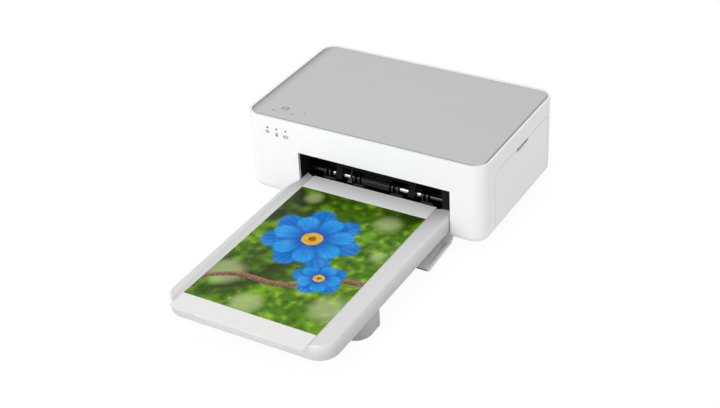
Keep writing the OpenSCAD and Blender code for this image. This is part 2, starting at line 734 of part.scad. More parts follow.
module mouth_frame() color([0.06, 0.06, 0.07]) place() {
    top = mouth_h + hood_out;
    cheek_x = paper_off + paper_w / 2 + exit_side + cheek_side;
    difference() {
        // Hood: roof, sides and back wall with the paper exit
        translate([mouth_x0 - hood_out, wall + 0.1, low_wall_z + 1.2])
            cube([mouth_w + 2 * hood_out, mouth_back - wall, top - low_wall_z]);
        translate([mouth_x0 + hood_t - hood_out, 0, 0])
            cube([mouth_w - 2 * (hood_t - hood_out), mouth_back - hood_t, top - 1.2]);
        translate([paper_off - paper_w / 2 - exit_side, 0, 0])
            cube([paper_w + 2 * exit_side, mouth_back + 5, exit_z + exit_r + 1]);
        mouth_low_cut();
        rod(exit_c, bush_r, mouth_x0 - 3, mouth_x1 + 3);
        rod([exit_y, idler_z], 1.1, mouth_x0 - 3, mouth_x1 + 3);
    }
    // Cheek beside the rollers, on the side that the paper leaves free
    difference() {
        translate([cheek_x, exit_y - cheek_out, rim_z + clear])
            cube([mouth_x1 - hide - cheek_x, mouth_back - exit_y + cheek_out - hood_t / 2, top - rim_z - clear]);
        rod(exit_c, bush_r, mouth_x0 - 3, mouth_x1 + 3);
    }
    // Fingers that hang over the shaft and reach down before it
    for (s = [-1, 1]) prism(roll_mid + s * finger_off - finger_w / 2, roll_mid + s * finger_off + finger_w / 2)
        finger_side(top);
    // Bar between the fingers
    prism(roll_mid - finger_off, roll_mid + finger_off)
        translate([exit_y - finger_out + finger_bend, exit_z + tie_up]) square([finger_t, tie_t]);
    // Fin that hangs from the bar before the shaft
    fin_x = roll_mid + fin_off;
    bar_y = exit_y - finger_out + finger_bend + finger_t / 2;
    prism(fin_x - fin_t, fin_x) polygon([
        [exit_y - fin_out, exit_z - fin_drop], [exit_y - fin_out + fin_d, exit_z - fin_drop],
        [exit_y - fin_out + fin_d, exit_z + fin_up], [bar_y + fin_d / 2, exit_z + tie_up + tie_t / 3],
        [bar_y - fin_d / 2, exit_z + tie_up + tie_t / 3], [exit_y - fin_out, exit_z + fin_up]]);
    translate([fin_x, exit_y - fin_out + fin_d, exit_z - fin_drop]) rotate([90, 0, 0]) linear_extrude(fin_d)
        polygon([[0, 0], [0, fin_drop + fin_up], [-fin_t, fin_drop + fin_up], [-fin_w, 0]]);
}

// Side view of one finger, from the roof down to its end before the shaft
module finger_side(top) {
    y0 = exit_y - finger_out;
    y1 = y0 + finger_bend;
    low = exit_z - finger_drop;
    nib = finger_t / 3;
    polygon([[y0 + nib, low], [y0 + finger_t - nib, low], [y0 + finger_t, low + nib], [y0 + finger_t, exit_z + 1.3],
        [y1 + finger_t, exit_z + 5.8], [y1 + finger_t, top - 0.4], [y1, top - 0.4], [y1, exit_z + 5.8],
        [y0, exit_z + 1.3], [y0, low + nib]]);
}

// Keeps the frame clear of the tray that slides below it
module mouth_low_cut() {
    translate([tray_x0 - hide, 0, 0]) cube([tray_x1 - tray_x0 + 2 * hide, mouth_back + 5, rim_z + clear]);
}

module eject_shaft() color([0.75, 0.75, 0.77]) place() {
    rod(exit_c, shaft_r, gear_x, side_x1 + side_t + 1);
}

module eject_roller() color([0.15, 0.15, 0.15]) place() {
    ribs = 12;
    difference() {
        translate([roll_mid - rib_l / 2, exit_c[0], exit_c[1]]) rotate([90, 0, 90]) linear_extrude(rib_l)
            polygon([for (i = [0 : ribs - 1], p = [[0, 0.82], [0.18, 1], [0.5, 1], [0.68, 0.82]])
                exit_r * p[1] * [cos((i + p[0]) * 360 / ribs), sin((i + p[0]) * 360 / ribs)]]);
        rod(exit_c, shaft_r, -body_w, body_w);
    }
}

module eject_rings() color([0.1, 0.1, 0.1]) place() {
    for (x = ring_off) difference() {
        rod(exit_c, ring_r, roll_mid + x - ring_w / 2, roll_mid + x + ring_w / 2);
        rod(exit_c, shaft_r, -body_w, body_w);
    }
}

module eject_gear() color([0.9, 0.9, 0.85]) place() gear(exit_c, exit_n, exit_turn, gear_x, shaft_r);

// Idlers under the pairs of rings, from the middle of the mouth
idler_off = [-40.4, -16, 16, 40.4];
// Lower half of the exit: a shelf over the tray that carries the idlers
module exit_guide() color([0.07, 0.07, 0.08]) place() {
    difference() {
        translate([mouth_x0 + hide, lid_back + clear, low_wall_z + 1])
            cube([mouth_w - 2 * hide, mouth_back - lid_back, floor_z - clear - low_wall_z - 1]);
        for (s = idler_off) translate([roll_mid + s - 5.5, exit_y - 2.2, low_wall_z]) cube([11, 4.4, 8]);
        rod([exit_y, idler_z], 0.8 + run_gap, mouth_x0 - 3, mouth_x1 + 3);
    }
}

module exit_idlers() color([0.55, 0.55, 0.57]) place() {
    c = [exit_y, idler_z];
    rod(c, 0.8, mouth_x0 + 2, mouth_x1 - 2);
    for (s = idler_off) rod(c, idler_r, roll_mid + s - 4, roll_mid + s + 4);
}

// ---------- Pickup and paper guides ----------

module pickup_shaft() color([0.75, 0.75, 0.77]) place() {
    rod(pick_c, shaft_r, gear_x, side_x1 + side_t + 1);
}

module pickup_roller() color([0.2, 0.2, 0.21]) place() {
    for (s = [-1, 1]) difference() {
        rod(pick_c, pick_r, paper_off + s * 18 - 6, paper_off + s * 18 + 6);
        rod(pick_c, shaft_r, -body_w, body_w);
    }
}

module pickup_gear() color([0.9, 0.9, 0.85]) place() gear(pick_c, pick_n, pick_turn, gear_x, shaft_r);

guide_t = 1.2;
// Slope that leads a print down from the feed roller to the exit, and the floor behind the platen
module paper_guide() color([0.1, 0.1, 0.11]) place() {
    y0 = mouth_back + 0.8;
    y1 = feed_y - feed_r - 1;
    top0 = nip_z + 3.2;
    top1 = path_z - 0.5;
    knee = pick_y + 1;
    prism(side_x0, side_x1) polygon([[y0, top0], [y0 + 2.4, top1 - 2], [knee, top1 - 0.6], [y1, top1],
        [y1, top1 - guide_t],
        [knee, top1 - 0.6 - guide_t], [y0 + 2.9, top1 - 2 - guide_t], [y0, top0 - guide_t]]);
    // Level floor from the platen to the slot in the back
    prism(side_x0, side_x1) translate([platen_c[0] + platen_r + 1, top1 - guide_t])
        square([side_y1 - platen_c[0] - platen_r - 1, guide_t]);
}

// Ramp that turns the lowest sheet up from the tray to the feed roller
module feed_ramp() color([0.1, 0.1, 0.11]) place() {
    y0 = tray_in + 1;
    y1 = feed_y - feed_r - 1.4;
    prism(side_x0, side_x1) polygon([[y0, plate_t], [y0, low_wall_z - 1.5], [y0 + 5, low_wall_z + 1.5],
        [y1, feed_z - 1.5],
        [y1, feed_z - 3], [y1 - 2, low_wall_z], [y1 - 2, plate_t]]);
}

// ---------- Feed roller, pinch roller and platen ----------

module feed_roller() color([0.7, 0.7, 0.72]) place() {
    rod(feed_c, feed_r, roller_x0, roller_x1);
    rod(feed_c, shaft_r, big_x, side_x1 + side_t + 1);
}

module feed_gear() color([0.9, 0.9, 0.85]) place() gear(feed_c, feed_n, feed_turn, big_x, shaft_r, wide_w);

module pinch_roller() color([0.25, 0.25, 0.27]) place() {
    c = [feed_y, pinch_z];
    rod(c, pinch_r, roller_x0, roller_x1);
    rod(c, pinch_r - 1.2, side_x0 - side_t - 0.8, side_x1 + side_t + 0.8);
}

module platen_roller() color([0.16, 0.16, 0.17]) place() difference() {
    rod(platen_c, platen_r, roller_x0, roller_x1);
    rod(platen_c, shaft_r, -body_w, body_w);
}

module platen_shaft() color([0.75, 0.75, 0.77]) place() {
    rod(platen_c, shaft_r, gear_x, side_x1 + side_t + 1);
}

module platen_gear() color([0.9, 0.9, 0.85]) place() gear(platen_c, platen_n, platen_turn, gear_x, shaft_r);

// ---------- Loose gears and motor ----------

module lower_idler_gear() color([0.92, 0.9, 0.8]) place()
    gear(lower_c, lower_n, lower_turn, gear_x, axle_r + run_gap);

module large_idler_gear() color([0.92, 0.9, 0.8]) place()
    gear(large_c, large_n, large_turn, big_x, axle_r + run_gap);

module small_idler_gear() color([0.92, 0.9, 0.8]) place()
    gear(small_c, small_n, small_turn, big_x, axle_r + run_gap, wide_w);

module reduction_gear() color([0.92, 0.9, 0.8]) place() {
    gear(red_c, red_small_n, red_turn, gear_x, axle_r + run_gap);
    gear(red_c, red_big_n, red_turn, big_x, axle_r + run_gap);
    difference() {
        rod(red_c, 2.4, big_x + gear_w - 0.1, gear_x + 0.1);
        rod(red_c, axle_r + run_gap, -body_w, body_w);
    }
}

module gear_axles() color([0.7, 0.7, 0.72]) place() {
    plate_x = side_x0 - side_t;
    // [axis, left face of the gear, right face of the gear]
    for (a = [[lower_c, gear_x, gear_x + gear_w], [large_c, big_x, big_x + gear_w],
              [small_c, big_x, gear_x + gear_w], [red_c, big_x, gear_x + gear_w]]) {
        rod(a[0], axle_r, a[1] - clear - ring_t, plate_x);
        rod(a[0], axle_r + 0.9, a[2] + clear, plate_x);
        rod(a[0], axle_r + 0.9, a[1] - clear - ring_t, a[1] - clear);
    }
}

motor_x = big_x - 3;
module motor_pinion() color([0.85, 0.72, 0.35]) place() {
    gear(pinion_c, pinion_n, pinion_turn, big_x, 0.9);
    rod(pinion_c, 1, motor_x - 4, big_x + gear_w);
}

module drive_motor() color([0.62, 0.62, 0.64]) place() difference() {
    union() {
        rod(pinion_c, motor_r, motor_x - motor_l, motor_x - 1.5);
        rod(pinion_c, 4, motor_x - 2, motor_x - 0.2);
    }
    rod(pinion_c, 1 + run_gap, motor_x - 5, motor_x + cut);
}

module motor_bracket() color([0.66, 0.66, 0.68]) place() difference() {
    union() {
        translate([motor_x - 1.5, pinion_c[0] - motor_r - 2, plate_t])
            cube([1.2, 2 * motor_r + 4, pinion_c[1] + motor_r - plate_t]);
        translate([motor_x - 9, pinion_c[0] - motor_r - 2, plate_t]) cube([8.7, 2 * motor_r + 4, 1.2]);
    }
    rod(pinion_c, 4.05, motor_x - 3, motor_x + 3);
    for (s = [-1, 1]) rod([pinion_c[0] + s * 8, pinion_c[1]], 1, motor_x - 3, motor_x + 3);
}

// ---------- Chassis ----------

module side_outline() {
    translate([plinth_in + 1, plate_t]) square([side_y1 - plinth_in - 4, side_z1 - plate_t]);
    translate([plinth_in + 1, plate_t + 3]) square([side_y1 - plinth_in - 1, side_z1 - plate_t - 3]);
    translate([exit_y - 7, rim_z + 1]) square([plinth_in, mouth_h + 2 - rim_z]);
}

module side_bores() {
    for (c = [exit_c, pick_c, feed_c, platen_c, pivot_c]) translate(c) circle(bush_r);
    translate([feed_y, pinch_z]) circle(pinch_r - 1.2 + run_gap);
}

module chassis_left() color([0.7, 0.7, 0.72]) place() {
    prism(side_x0 - side_t, side_x0) difference() {
        side_outline();
        side_bores();
        translate(take_c) circle(bush_r);
        translate(supply_c) circle(1.5);
    }
}

module chassis_right() color([0.7, 0.7, 0.72]) place() {
    prism(side_x1, side_x1 + side_t) difference() {
        side_outline();
        side_bores();
        // Window that the ribbon cartridge is pushed through
        translate([take_c[0] - tube_r - 1, take_c[1] - tube_r - 1])
            square([spool_pitch + 2 * tube_r + 2, 2 * tube_r + 2]);
    }
}

module bush(c, x) {
    difference() {
        rod(c, bush_r, x - bush_l / 2, x + bush_l / 2);
        rod(c, shaft_r + run_gap, x - bush_l, x + bush_l);
    }
}

module bearing_bushes() color([0.8, 0.65, 0.3]) place() {
    for (c = [exit_c, pick_c, feed_c, platen_c], x = [side_x0 - side_t / 2, side_x1 + side_t / 2])
        bush(c, x);
    bush(take_c, side_x0 - side_t / 2);
    for (x = [side_x0 - side_t / 2, side_x1 + side_t / 2]) bush(pivot_c, x);
}

spring_y = pivot_c[0] - 5.3;
shelf_y = supply_c[0] + 7.6;
shelf_z = supply_c[1] + tube_r - 2.2;
// Folded bar across the back: it ties the side plates and seats the head's springs
module head_crossbar() color([0.66, 0.66, 0.68]) place() {
    y1 = side_y1 - 0.6;
    prism(side_x0, side_x1) {
        translate([shelf_y, shelf_z - side_t]) square([y1 - shelf_y, side_t]);
        translate([y1 - side_t, path_z + 6]) square([side_t, shelf_z - path_z - 6]);
    }
}

// ---------- Thermal head ----------

head_x0 = roller_x0 + 1.6;
head_l = roller_l - 3.2;
arm_x = [roller_x0 + 2, roller_x1 - 7];
arm_w = 5;

module thermal_head() color([0.35, 0.33, 0.32]) place() {
    translate([head_x0, head_c[0] - head_d / 2, head_c[1]]) cube([head_l, head_d, 3]);
    // Heater line on the face
    rod([head_c[0], head_c[1] + 0.55], 0.8, head_x0 + 1, head_x0 + head_l - 1);
}

module head_bracket() color([0.68, 0.68, 0.7]) place() {
    difference() {
        union() {
            // Finned heat sink on the head
            translate([head_x0, head_c[0] - head_d / 2, head_c[1] + 3]) cube([head_l, head_d, 2]);
            for (i = [0 : 2]) translate([head_x0, head_c[0] - head_d / 2 + i * (head_d - 1.2)
                / 2, head_c[1] + 4.9])
                cube([head_l, 1.2, 5]);
            for (x = arm_x) {
                translate([x, head_c[0] - head_d / 2, head_c[1] + 4.9])
                    cube([arm_w, head_d, arm_z + 1 - head_c[1] - 4.9]);
                translate([x, head_c[0] - head_d / 2, arm_z])
                    cube([arm_w, pivot_c[0] - head_c[0] + head_d / 2, 2.6]);
                rod(pivot_c, shaft_r + 1.4, x, x + arm_w);
            }
        }
        rod(pivot_c, shaft_r + run_gap, -body_w, body_w);
    }
}

module head_pivot_shaft() color([0.75, 0.75, 0.77]) place() {
    rod(pivot_c, shaft_r, side_x0 - side_t, side_x1 + side_t);
}

module head_springs() color([0.6, 0.6, 0.62]) place() {
    for (x = arm_x) translate([x + arm_w / 2, spring_y, shelf_z]) coil(1.6, 0.3, arm_z - shelf_z, 4);
}

// ---------- Ribbon cartridge ----------

roll_x0 = paper_off - paper_w / 2 + 1;
roll_x1 = paper_off + paper_w / 2 - 1;

module spool(c, r, x0, x1) {
    difference() {
        union() {
            rod(c, core_r, x0, x1);
            rod(c, r, roll_x0, roll_x1);
        }
        rod(c, shaft_r + run_gap, x0 - cut, x0 + 8);
    }
}

module takeup_gear() color([0.92, 0.9, 0.8]) place() {
    gear(take_c, take_n, take_turn, big_x, shaft_r - 0.2);
    rod(take_c, shaft_r, big_x, cart_x0 + 5);
}

module takeup_spool() color([0.25, 0.25, 0.28]) place() spool(take_c, used_r, cart_x0 - 0.4, cart_x1 - 0.5);

module supply_spool() color([0.25, 0.25, 0.28]) place()
    spool(supply_c, roll_r, cart_x0 - 0.4, cart_x1 - 0.5);

film_t = 0.15;
module ribbon_film() color([0.75, 0.6, 0.15]) place() {
    a = take_c + [0.4, -used_r - clear];
    b = supply_c + [-0.4, -roll_r - clear];
    prism(roll_x0, roll_x1) polygon([a, b, b - [0, film_t], a - [0, film_t]]);
}

module spool_tube(c, slot) {
    difference() {
        rod(c, tube_r, cart_x0 + cart_end - 0.1, cart_x1 - cart_end + 0.1);
        rod(c, tube_r - tube_t, cart_x0 + cart_end - 0.2, cart_x1 - cart_end + 0.2);
        prism(cart_x0 + cart_end + 3, cart_x1 - cart_end - 3) translate(c + slot) square([9, 6]);
    }
}

module cartridge_frame() color([0.2, 0.2, 0.22]) place() {
    spool_tube(take_c, [2, -used_r - 4]);
    spool_tube(supply_c, [-11, -roll_r - 3.4]);
    difference() {
        for (x = [cart_x0, cart_x1 - cart_end]) for (c = [take_c, supply_c])
            rod(c, tube_r, x, x + cart_end);
        for (c = [take_c, supply_c]) rod(c, core_r + run_gap, cart_x0 - cut, cart_x1 + cut);
    }
    // Low bridges that tie the two tubes at both ends, and the grip
    for (x = [cart_x0, cart_x1 - cart_end]) translate([x, take_c[0] + tube_r - 2, take_c[1] - tube_r + 0.6])
        cube([cart_end, spool_pitch - 2 * tube_r + 4, 2]);
    translate([cart_x1 - 0.1, take_c[0] + spool_pitch / 2 - 14, take_c[1] - tube_r + 0.6]) cube([9, 28, 2]);
    translate([cart_x1 + 7, take_c[0] + spool_pitch / 2 - 14, take_c[1] - tube_r + 0.6]) cube([2, 28, 12]);
}

// ---------- Boards and power inlet ----------

// Main board on four pads inside the left wall
pad_l = 3;
board_t = 1.6;
board_w = 46;
board_h = 40;
board_y = 26;
board_low = 8;

module main_board() color([0.05, 0.35, 0.16]) place() {
    x = -half_w + wall + pad_l;
    translate([x, board_y, board_low]) cube([board_t, board_w, board_h]);
    for (y = [board_y + 4, board_y + board_w - 8], z = [board_low + 2, board_low + board_h - 6])
        translate([x - pad_l + 0.2, y, z]) cube([pad_l - 0.1, 4, 4]);
    // Processor, memory, socket strip and capacitors: [distance from the board's front, height above
    // it, size]
    for (chip = [[16, 16, [1.4, 12, 12]], [8, 4, [1.2, 8, 6]], [26, 2, [5, 14, 5]]])
        translate([x + board_t - 0.1, board_y + chip[0], board_low + chip[1]]) cube(chip[2]);
    for (y = [8, 14, 20]) translate([x + board_t - 0.1, board_y + y, board_low + 33])
        rotate([0, 90, 0]) cylinder(r = 2.4, h = 6);
}

module power_inlet() color([0.08, 0.08, 0.08]) place() {
    difference() {
        translate([inlet_x - inlet_w / 2, body_d - 13, inlet_z - inlet_h / 2]) cube([inlet_w, 13, inlet_h]);
        translate([inlet_x, body_d - 10, inlet_z]) rotate([-90, 0, 0]) cylinder(r = 2.75, h = 11);
    }
    translate([inlet_x, body_d - 10.5, inlet_z]) rotate([-90, 0, 0]) cylinder(r = 0.8, h = 9);
    translate([inlet_x - inlet_w / 2, body_d - 13, plate_t])
        cube([inlet_w, 5.5, inlet_z - inlet_h / 2 - plate_t + 0.1]);
}

// ---------- Paper tray ----------

// Plan of the tray in front of the printer, drawn in by inset
module tray_plan(inset, back) {
    r = tray_r - inset;
    x0 = tray_left + tray_r;
    x1 = tray_x1 - tray_r;
    y0 = -tray_out + tray_r;
    polygon([[tray_left + inset, y0], [tray_left + inset, -shoulder_l - 2], [tray_x0 + inset, -2],
        [tray_x0 + inset, back], [tray_x1 - inset, back], [tray_x1 - inset, y0]]);
    translate([x0, y0 - r]) square([x1 - x0, r + 1]);
    for (x = [x0, x1]) translate([x, y0]) circle(r);
}

fence_t = 1.4;
fence_h = 4;
fence_l = paper_l - 16;
fence_gap = 0.5;
stop_w = 40;
runner_t = 1.5;
runner_h = 1.6;
runner_l = 52;

module tray_base() color([0.88, 0.88, 0.88]) place() {
    difference() {
        union() {
            translate([0, 0, tray_z]) linear_extrude(tub_h) tray_plan(0, lid_back);
            translate([tray_x0, 0, tray_z]) cube([tray_x1 - tray_x0, tray_in, low_wall_z - tray_z]);
        }
        translate([0, 0, tray_z + tray_floor]) linear_extrude(tray_h) tray_plan(tray_wall, lid_back + 1);
        translate([tray_x0 + tray_wall, 0, tray_z + tray_floor])
            cube([tray_x1 - tray_x0 - 2 * tray_wall, tray_in - tray_wall, tray_h]);
    }
    // Side fences and front stop that keep the stack in line with the rollers
    fence_z = tray_z + tray_floor - 0.1;
    for (x = [paper_off - paper_w / 2 - fence_gap - fence_t, paper_off + paper_w / 2 + fence_gap])
        translate([x, tray_in - tray_wall - fence_l, fence_z]) cube([fence_t, fence_l + 0.1, fence_h]);
    translate([paper_off - stop_w / 2, stack_back - paper_l - fence_gap - fence_t, fence_z])
        cube([stop_w, fence_t, fence_h]);
}

// Gap between the print and the foot of the dish's slanted sides
dish_gap = 0.9;
// Everything above the dish: level rims, slanted sides and a floor that climbs to the front
module dish_cut() {
    h = dish_h + 2.6;
    x0 = paper_off - paper_w / 2 - dish_gap;
    x1 = paper_off + paper_w / 2 + dish_gap;
    left = tray_left + rim_flat - x0;
    right = tray_x1 - rim_flat - x1;
    translate([0, print_in, floor_z]) rotate([-print_tilt, 0, 0]) translate([0, 10, 0]) rotate([90, 0, 0])
        linear_extrude(tray_out + 30) polygon([[x0, 0], [x1, 0], [x1 + right, dish_h], [x1 + right, h],
            [x0 + left, h], [x0 + left, dish_h]]);
}

module tray_lid() color([0.9, 0.9, 0.9]) place() {
    difference() {
        translate([0, 0, lid_z]) linear_extrude(rim_z - lid_z) tray_plan(0, lid_back);
        dish_cut();
        // Hollow underside, parallel to the dish
        intersection() {
            translate([0, print_in, floor_z - lid_t]) rotate([-print_tilt, 0, 0])
                translate([-body_w, -tray_out - 30, -10]) cube([2 * body_w, tray_out + 60, 10]);
            translate([0, 0, lid_z - cut]) linear_extrude(tray_h) tray_plan(tray_wall, lid_back - 1.2);
        }
    }
    // Runners that keep the cover in line while it slides
    for (x = [tray_x0 + tray_wall + clear, tray_x1 - tray_wall - clear - runner_t])
        translate([x, -runner_l, lid_z - runner_h]) cube([runner_t, runner_l, runner_h + 0.2]);
}

module foot_plan(inset) {
    x0 = tray_left + foot_in;
    x1 = tray_x1 - foot_in;
    y0 = -foot_y - foot_d;
    translate([x0 + inset, y0 + foot_r]) square([x1 - x0 - 2 * inset, foot_d - foot_r - inset]);
    translate([x0 + foot_r, y0 + inset]) square([x1 - x0 - 2 * foot_r, foot_d - 2 * inset]);
    for (x = [x0 + foot_r, x1 - foot_r]) translate([x, y0 + foot_r]) circle(foot_r - inset);
}

module tray_foot() color([0.7, 0.7, 0.7]) place() {
    difference() {
        translate([0, 0, -stand_h]) linear_extrude(tray_z + stand_h) foot_plan(0);
        translate([0, 0, -stand_h + 1.6]) linear_extrude(tray_z + stand_h) foot_plan(2);
    }
}

lift_bead_r = 0.7;
leaf_w = 8;
leaf_off = 24;
leaf_t = 0.3;
leaf_rise = 0.7;

module lift_plate() color([0.75, 0.76, 0.78]) place() {
    x0 = paper_off - paper_w / 2 + 1;
    translate([x0, lift_axis_y, plate_z]) cube([paper_w - 2, stack_back - lift_axis_y - 1, lift_t]);
    rod([lift_axis_y, tray_z + tray_floor + lift_bead_r + 0.05], lift_bead_r, x0, x0 + paper_w - 2);
}

module lift_spring() color([0.7, 0.7, 0.72]) place() {
    z0 = tray_z + tray_floor;
    for (s = [-1, 1]) prism(paper_off + s * leaf_off - leaf_w / 2, paper_off + s * leaf_off + leaf_w / 2)
        polygon([[-12, z0], [-6, z0], [4, z0 + leaf_rise], [10, z0 + leaf_rise],
            [10, z0 + leaf_rise + leaf_t],
            [4, z0 + leaf_rise + leaf_t], [-7, z0 + leaf_t], [-12, z0 + leaf_t]]);
}

module paper_stack() color("white") place() {
    translate([paper_off - paper_w / 2, stack_back - paper_l, stack_z]) cube([paper_w, paper_l, stack_t]);
}

module photo_print() color([0.45, 0.6, 0.35]) place() {
    translate([0, print_in, nip_z - 0.05]) rotate([-print_tilt, 0, 0])
        translate([paper_off - paper_w / 2, -paper_l, 0]) cube([paper_w, paper_l, print_t]);
}

outer_shell();
top_panel();
power_button();
light_pipe();
button_board();
base_plate();
rubber_feet();
base_screws();
front_flap();
flap_hinge_pins();
cartridge_door();
door_hinge_pins();
mouth_frame();
eject_shaft();
eject_roller();
eject_rings();
eject_gear();
exit_guide();
exit_idlers();
pickup_shaft();
pickup_roller();
pickup_gear();
paper_guide();
feed_ramp();
feed_roller();
feed_gear();
pinch_roller();
platen_roller();
platen_shaft();
platen_gear();
lower_idler_gear();
large_idler_gear();
small_idler_gear();
reduction_gear();
gear_axles();
motor_pinion();
drive_motor();
motor_bracket();
chassis_left();
chassis_right();
bearing_bushes();
head_crossbar();
thermal_head();
head_bracket();
head_pivot_shaft();
head_springs();
takeup_gear();
takeup_spool();
supply_spool();
ribbon_film();
cartridge_frame();
main_board();
power_inlet();
tray_base();
tray_lid();
tray_foot();
lift_plate();
lift_spring();
paper_stack();
photo_print();
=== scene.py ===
# %% [markdown]
# # A compact photo printer
# A box printer with a matt panel on top, an open mouth, and a long paper tray that carries a finished print.
# The CAD model is loaded first and stays as it is: it holds the sizes, the mechanism and the joints.
# The casing, tray and print are then modelled over it in Blender, and every surface gets a procedural finish.
# All sizes are in millimetres from the printer's own corner, where y = 0 is the front face and z = 0 is the
# bottom edge of the shell. The function at() turns them into metres in the shared frame.

# %% Load the frame
import math
import bmesh
import bpy
from mathutils import Matrix, Vector


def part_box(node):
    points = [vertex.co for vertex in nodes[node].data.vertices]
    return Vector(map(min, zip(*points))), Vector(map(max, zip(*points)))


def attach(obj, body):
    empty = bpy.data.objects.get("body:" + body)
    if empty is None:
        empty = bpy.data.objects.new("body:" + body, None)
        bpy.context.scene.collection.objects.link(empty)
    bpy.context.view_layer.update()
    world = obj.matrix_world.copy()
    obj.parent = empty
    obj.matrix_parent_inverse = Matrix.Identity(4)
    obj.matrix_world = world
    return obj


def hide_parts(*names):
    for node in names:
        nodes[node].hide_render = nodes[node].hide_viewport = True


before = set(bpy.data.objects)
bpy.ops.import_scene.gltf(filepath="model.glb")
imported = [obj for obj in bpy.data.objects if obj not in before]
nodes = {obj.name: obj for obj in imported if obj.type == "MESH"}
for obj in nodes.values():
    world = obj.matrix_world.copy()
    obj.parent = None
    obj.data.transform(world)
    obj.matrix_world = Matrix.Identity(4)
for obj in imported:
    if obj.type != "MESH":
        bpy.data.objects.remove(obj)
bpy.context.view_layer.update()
mm = 0.001
shell_low, shell_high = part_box("outer_shell")
half_w = shell_high.x / mm
depth = (shell_high.y - shell_low.y) / mm
height = (shell_high.z - shell_low.z) / mm
print(f"shell {2 * half_w:.2f} x {depth:.2f} x {height:.2f} mm, {len(nodes)} nodes")


def at(x, y, z):
    """A point in the shared frame, in metres, from millimetres at the printer's own corner."""
    return Vector((x * mm, y * mm + shell_low.y, z * mm + shell_low.z))


def of(co):
    """The reverse of at(): millimetres at the printer's own corner."""
    return (co.x / mm, (co.y - shell_low.y) / mm, (co.z - shell_low.z) / mm)


# %% [markdown]
# ## Camera and light
# The printer is seen from its front right corner and from above, with a long lens that keeps its edges nearly
# parallel. The camera is built from three directions, because a small roll is easier to give that way than with
# angles. The studio is a white room: an even sky lights every side, and one large lamp in front lifts the front
# face over the right side. A faint narrow lamp, low in front, fills the shade that the tray casts over the mouth.

# %% Camera
eye = Vector((0.447164, -0.738188 + shell_low.y, 0.561494 + shell_low.z))
ahead = Vector((-0.43763, 0.72016, -0.53838)).normalized()
right = Vector((0.86835, 0.49388, -0.04522)).normalized()
up = right.cross(ahead).normalized()
focal_px, picture_px, sensor_mm = 1413.76, 720, 36
lens_mm = focal_px * sensor_mm / picture_px
camera_data = bpy.data.cameras.new("camera")
camera_data.sensor_width = sensor_mm
camera_data.lens = lens_mm
camera = bpy.data.objects.new("camera", camera_data)
bpy.context.scene.collection.objects.link(camera)
camera.matrix_world = Matrix.Translation(eye) @ Matrix((right, up, -ahead)).transposed().to_4x4()
bpy.context.scene.camera = camera
print(f"lens {lens_mm:.1f} mm, {eye.length * 1000:.0f} mm from the middle of the object")


# %% Sky and lamps
def lamp(name, place, target, size, power, spread=180):
    """A square area lamp that looks at a point, with a beam of that spread in degrees."""
    data = bpy.data.lights.new(name, "AREA")
    data.size, data.energy, data.spread = size, power, math.radians(spread)
    lamp_object = bpy.data.objects.new(name, data)
    bpy.context.scene.collection.objects.link(lamp_object)
    lamp_object.location = place
    look = Vector(target) - Vector(place)
    lamp_object.rotation_euler = look.to_track_quat("-Z", "Y").to_euler()


bpy.context.scene.view_settings.view_transform = "Standard"
world = bpy.data.worlds.new("sky")
bpy.context.scene.world = world
world.use_nodes = True
sky = world.node_tree.nodes["Background"]
sky.inputs["Color"].default_value = (1, 1, 1, 1)
sky.inputs["Strength"].default_value = 0.78
lamp("front_lamp", (-0.32, -1.55, 1.0), (0, 0, 0.03), 1.1, 15)
lamp("mouth_lamp", (0.03, -0.52, 0.03), (0.0, 0.024, 0.055), 0.1, 0.010, 22)

# %% [markdown]
# ## Small tools
# Every piece below is made by the same few moves that a person would make by hand: add a block, pick some edges,
# round them, cut one shape with another, and soften what is left. Each move is one short function here.


# %% Picking and adding
def only(piece):
    """Back to object mode with this piece alone selected."""
    if bpy.context.mode != "OBJECT":
        bpy.ops.object.mode_set(mode="OBJECT")
    bpy.ops.object.select_all(action="DESELECT")
    if piece:
        piece.select_set(True)
        bpy.context.view_layer.objects.active = piece


def pick(piece, kind, test):
    """Edit mode with only the chosen VERT, EDGE or FACE elements selected."""
    only(piece)
    bpy.ops.object.mode_set(mode="EDIT")
    bpy.ops.mesh.select_mode(type=kind)
    bpy.ops.mesh.select_all(action="DESELECT")
    mesh = bmesh.from_edit_mesh(piece.data)
    elements = {"VERT": mesh.verts, "EDGE": mesh.edges, "FACE": mesh.faces}[kind]
    for element in [e for e in elements if test(e)]:
        element.select_set(True)
    bmesh.update_edit_mesh(piece.data)


def block(name, low, high):
    """A block between two corners."""
    only(None)
    a, b = at(*low), at(*high)
    bpy.ops.mesh.primitive_cube_add(size=1, location=(a + b) / 2)
    piece = bpy.context.object
    piece.name = name
    piece.scale = b - a
    bpy.ops.object.transform_apply(location=True, rotation=True, scale=True)
    return piece


def pin(name, start, end, radius, sides=48):
    """A cylinder between two points."""
    only(None)
    a, b = at(*start), at(*end)
    turn = (b - a).to_track_quat("Z", "Y").to_euler()
    bpy.ops.mesh.primitive_cylinder_add(
        vertices=sides, radius=radius * mm, depth=(b - a).length, location=(a + b) / 2, rotation=turn)
    piece = bpy.context.object
    piece.name = name
    bpy.ops.object.transform_apply(location=True, rotation=True, scale=True)
    return piece


def outline(name, points, pull):
    """A filled ring dragged onto an outline, then extruded by the vector pull."""
    only(None)
    bpy.ops.mesh.primitive_circle_add(vertices=len(points), radius=mm, fill_type="NGON", location=(0, 0, 0))
    piece = bpy.context.object
    piece.name = name
    for corner, point in zip(piece.data.vertices, points):
        corner.co = at(*point)
    pick(piece, "FACE", lambda face: True)
    bpy.ops.mesh.extrude_region_move(TRANSFORM_OT_translate={"value": Vector(pull) * mm})
    bpy.ops.mesh.select_all(action="SELECT")
    bpy.ops.mesh.normals_make_consistent(inside=False)
    only(piece)
    return piece


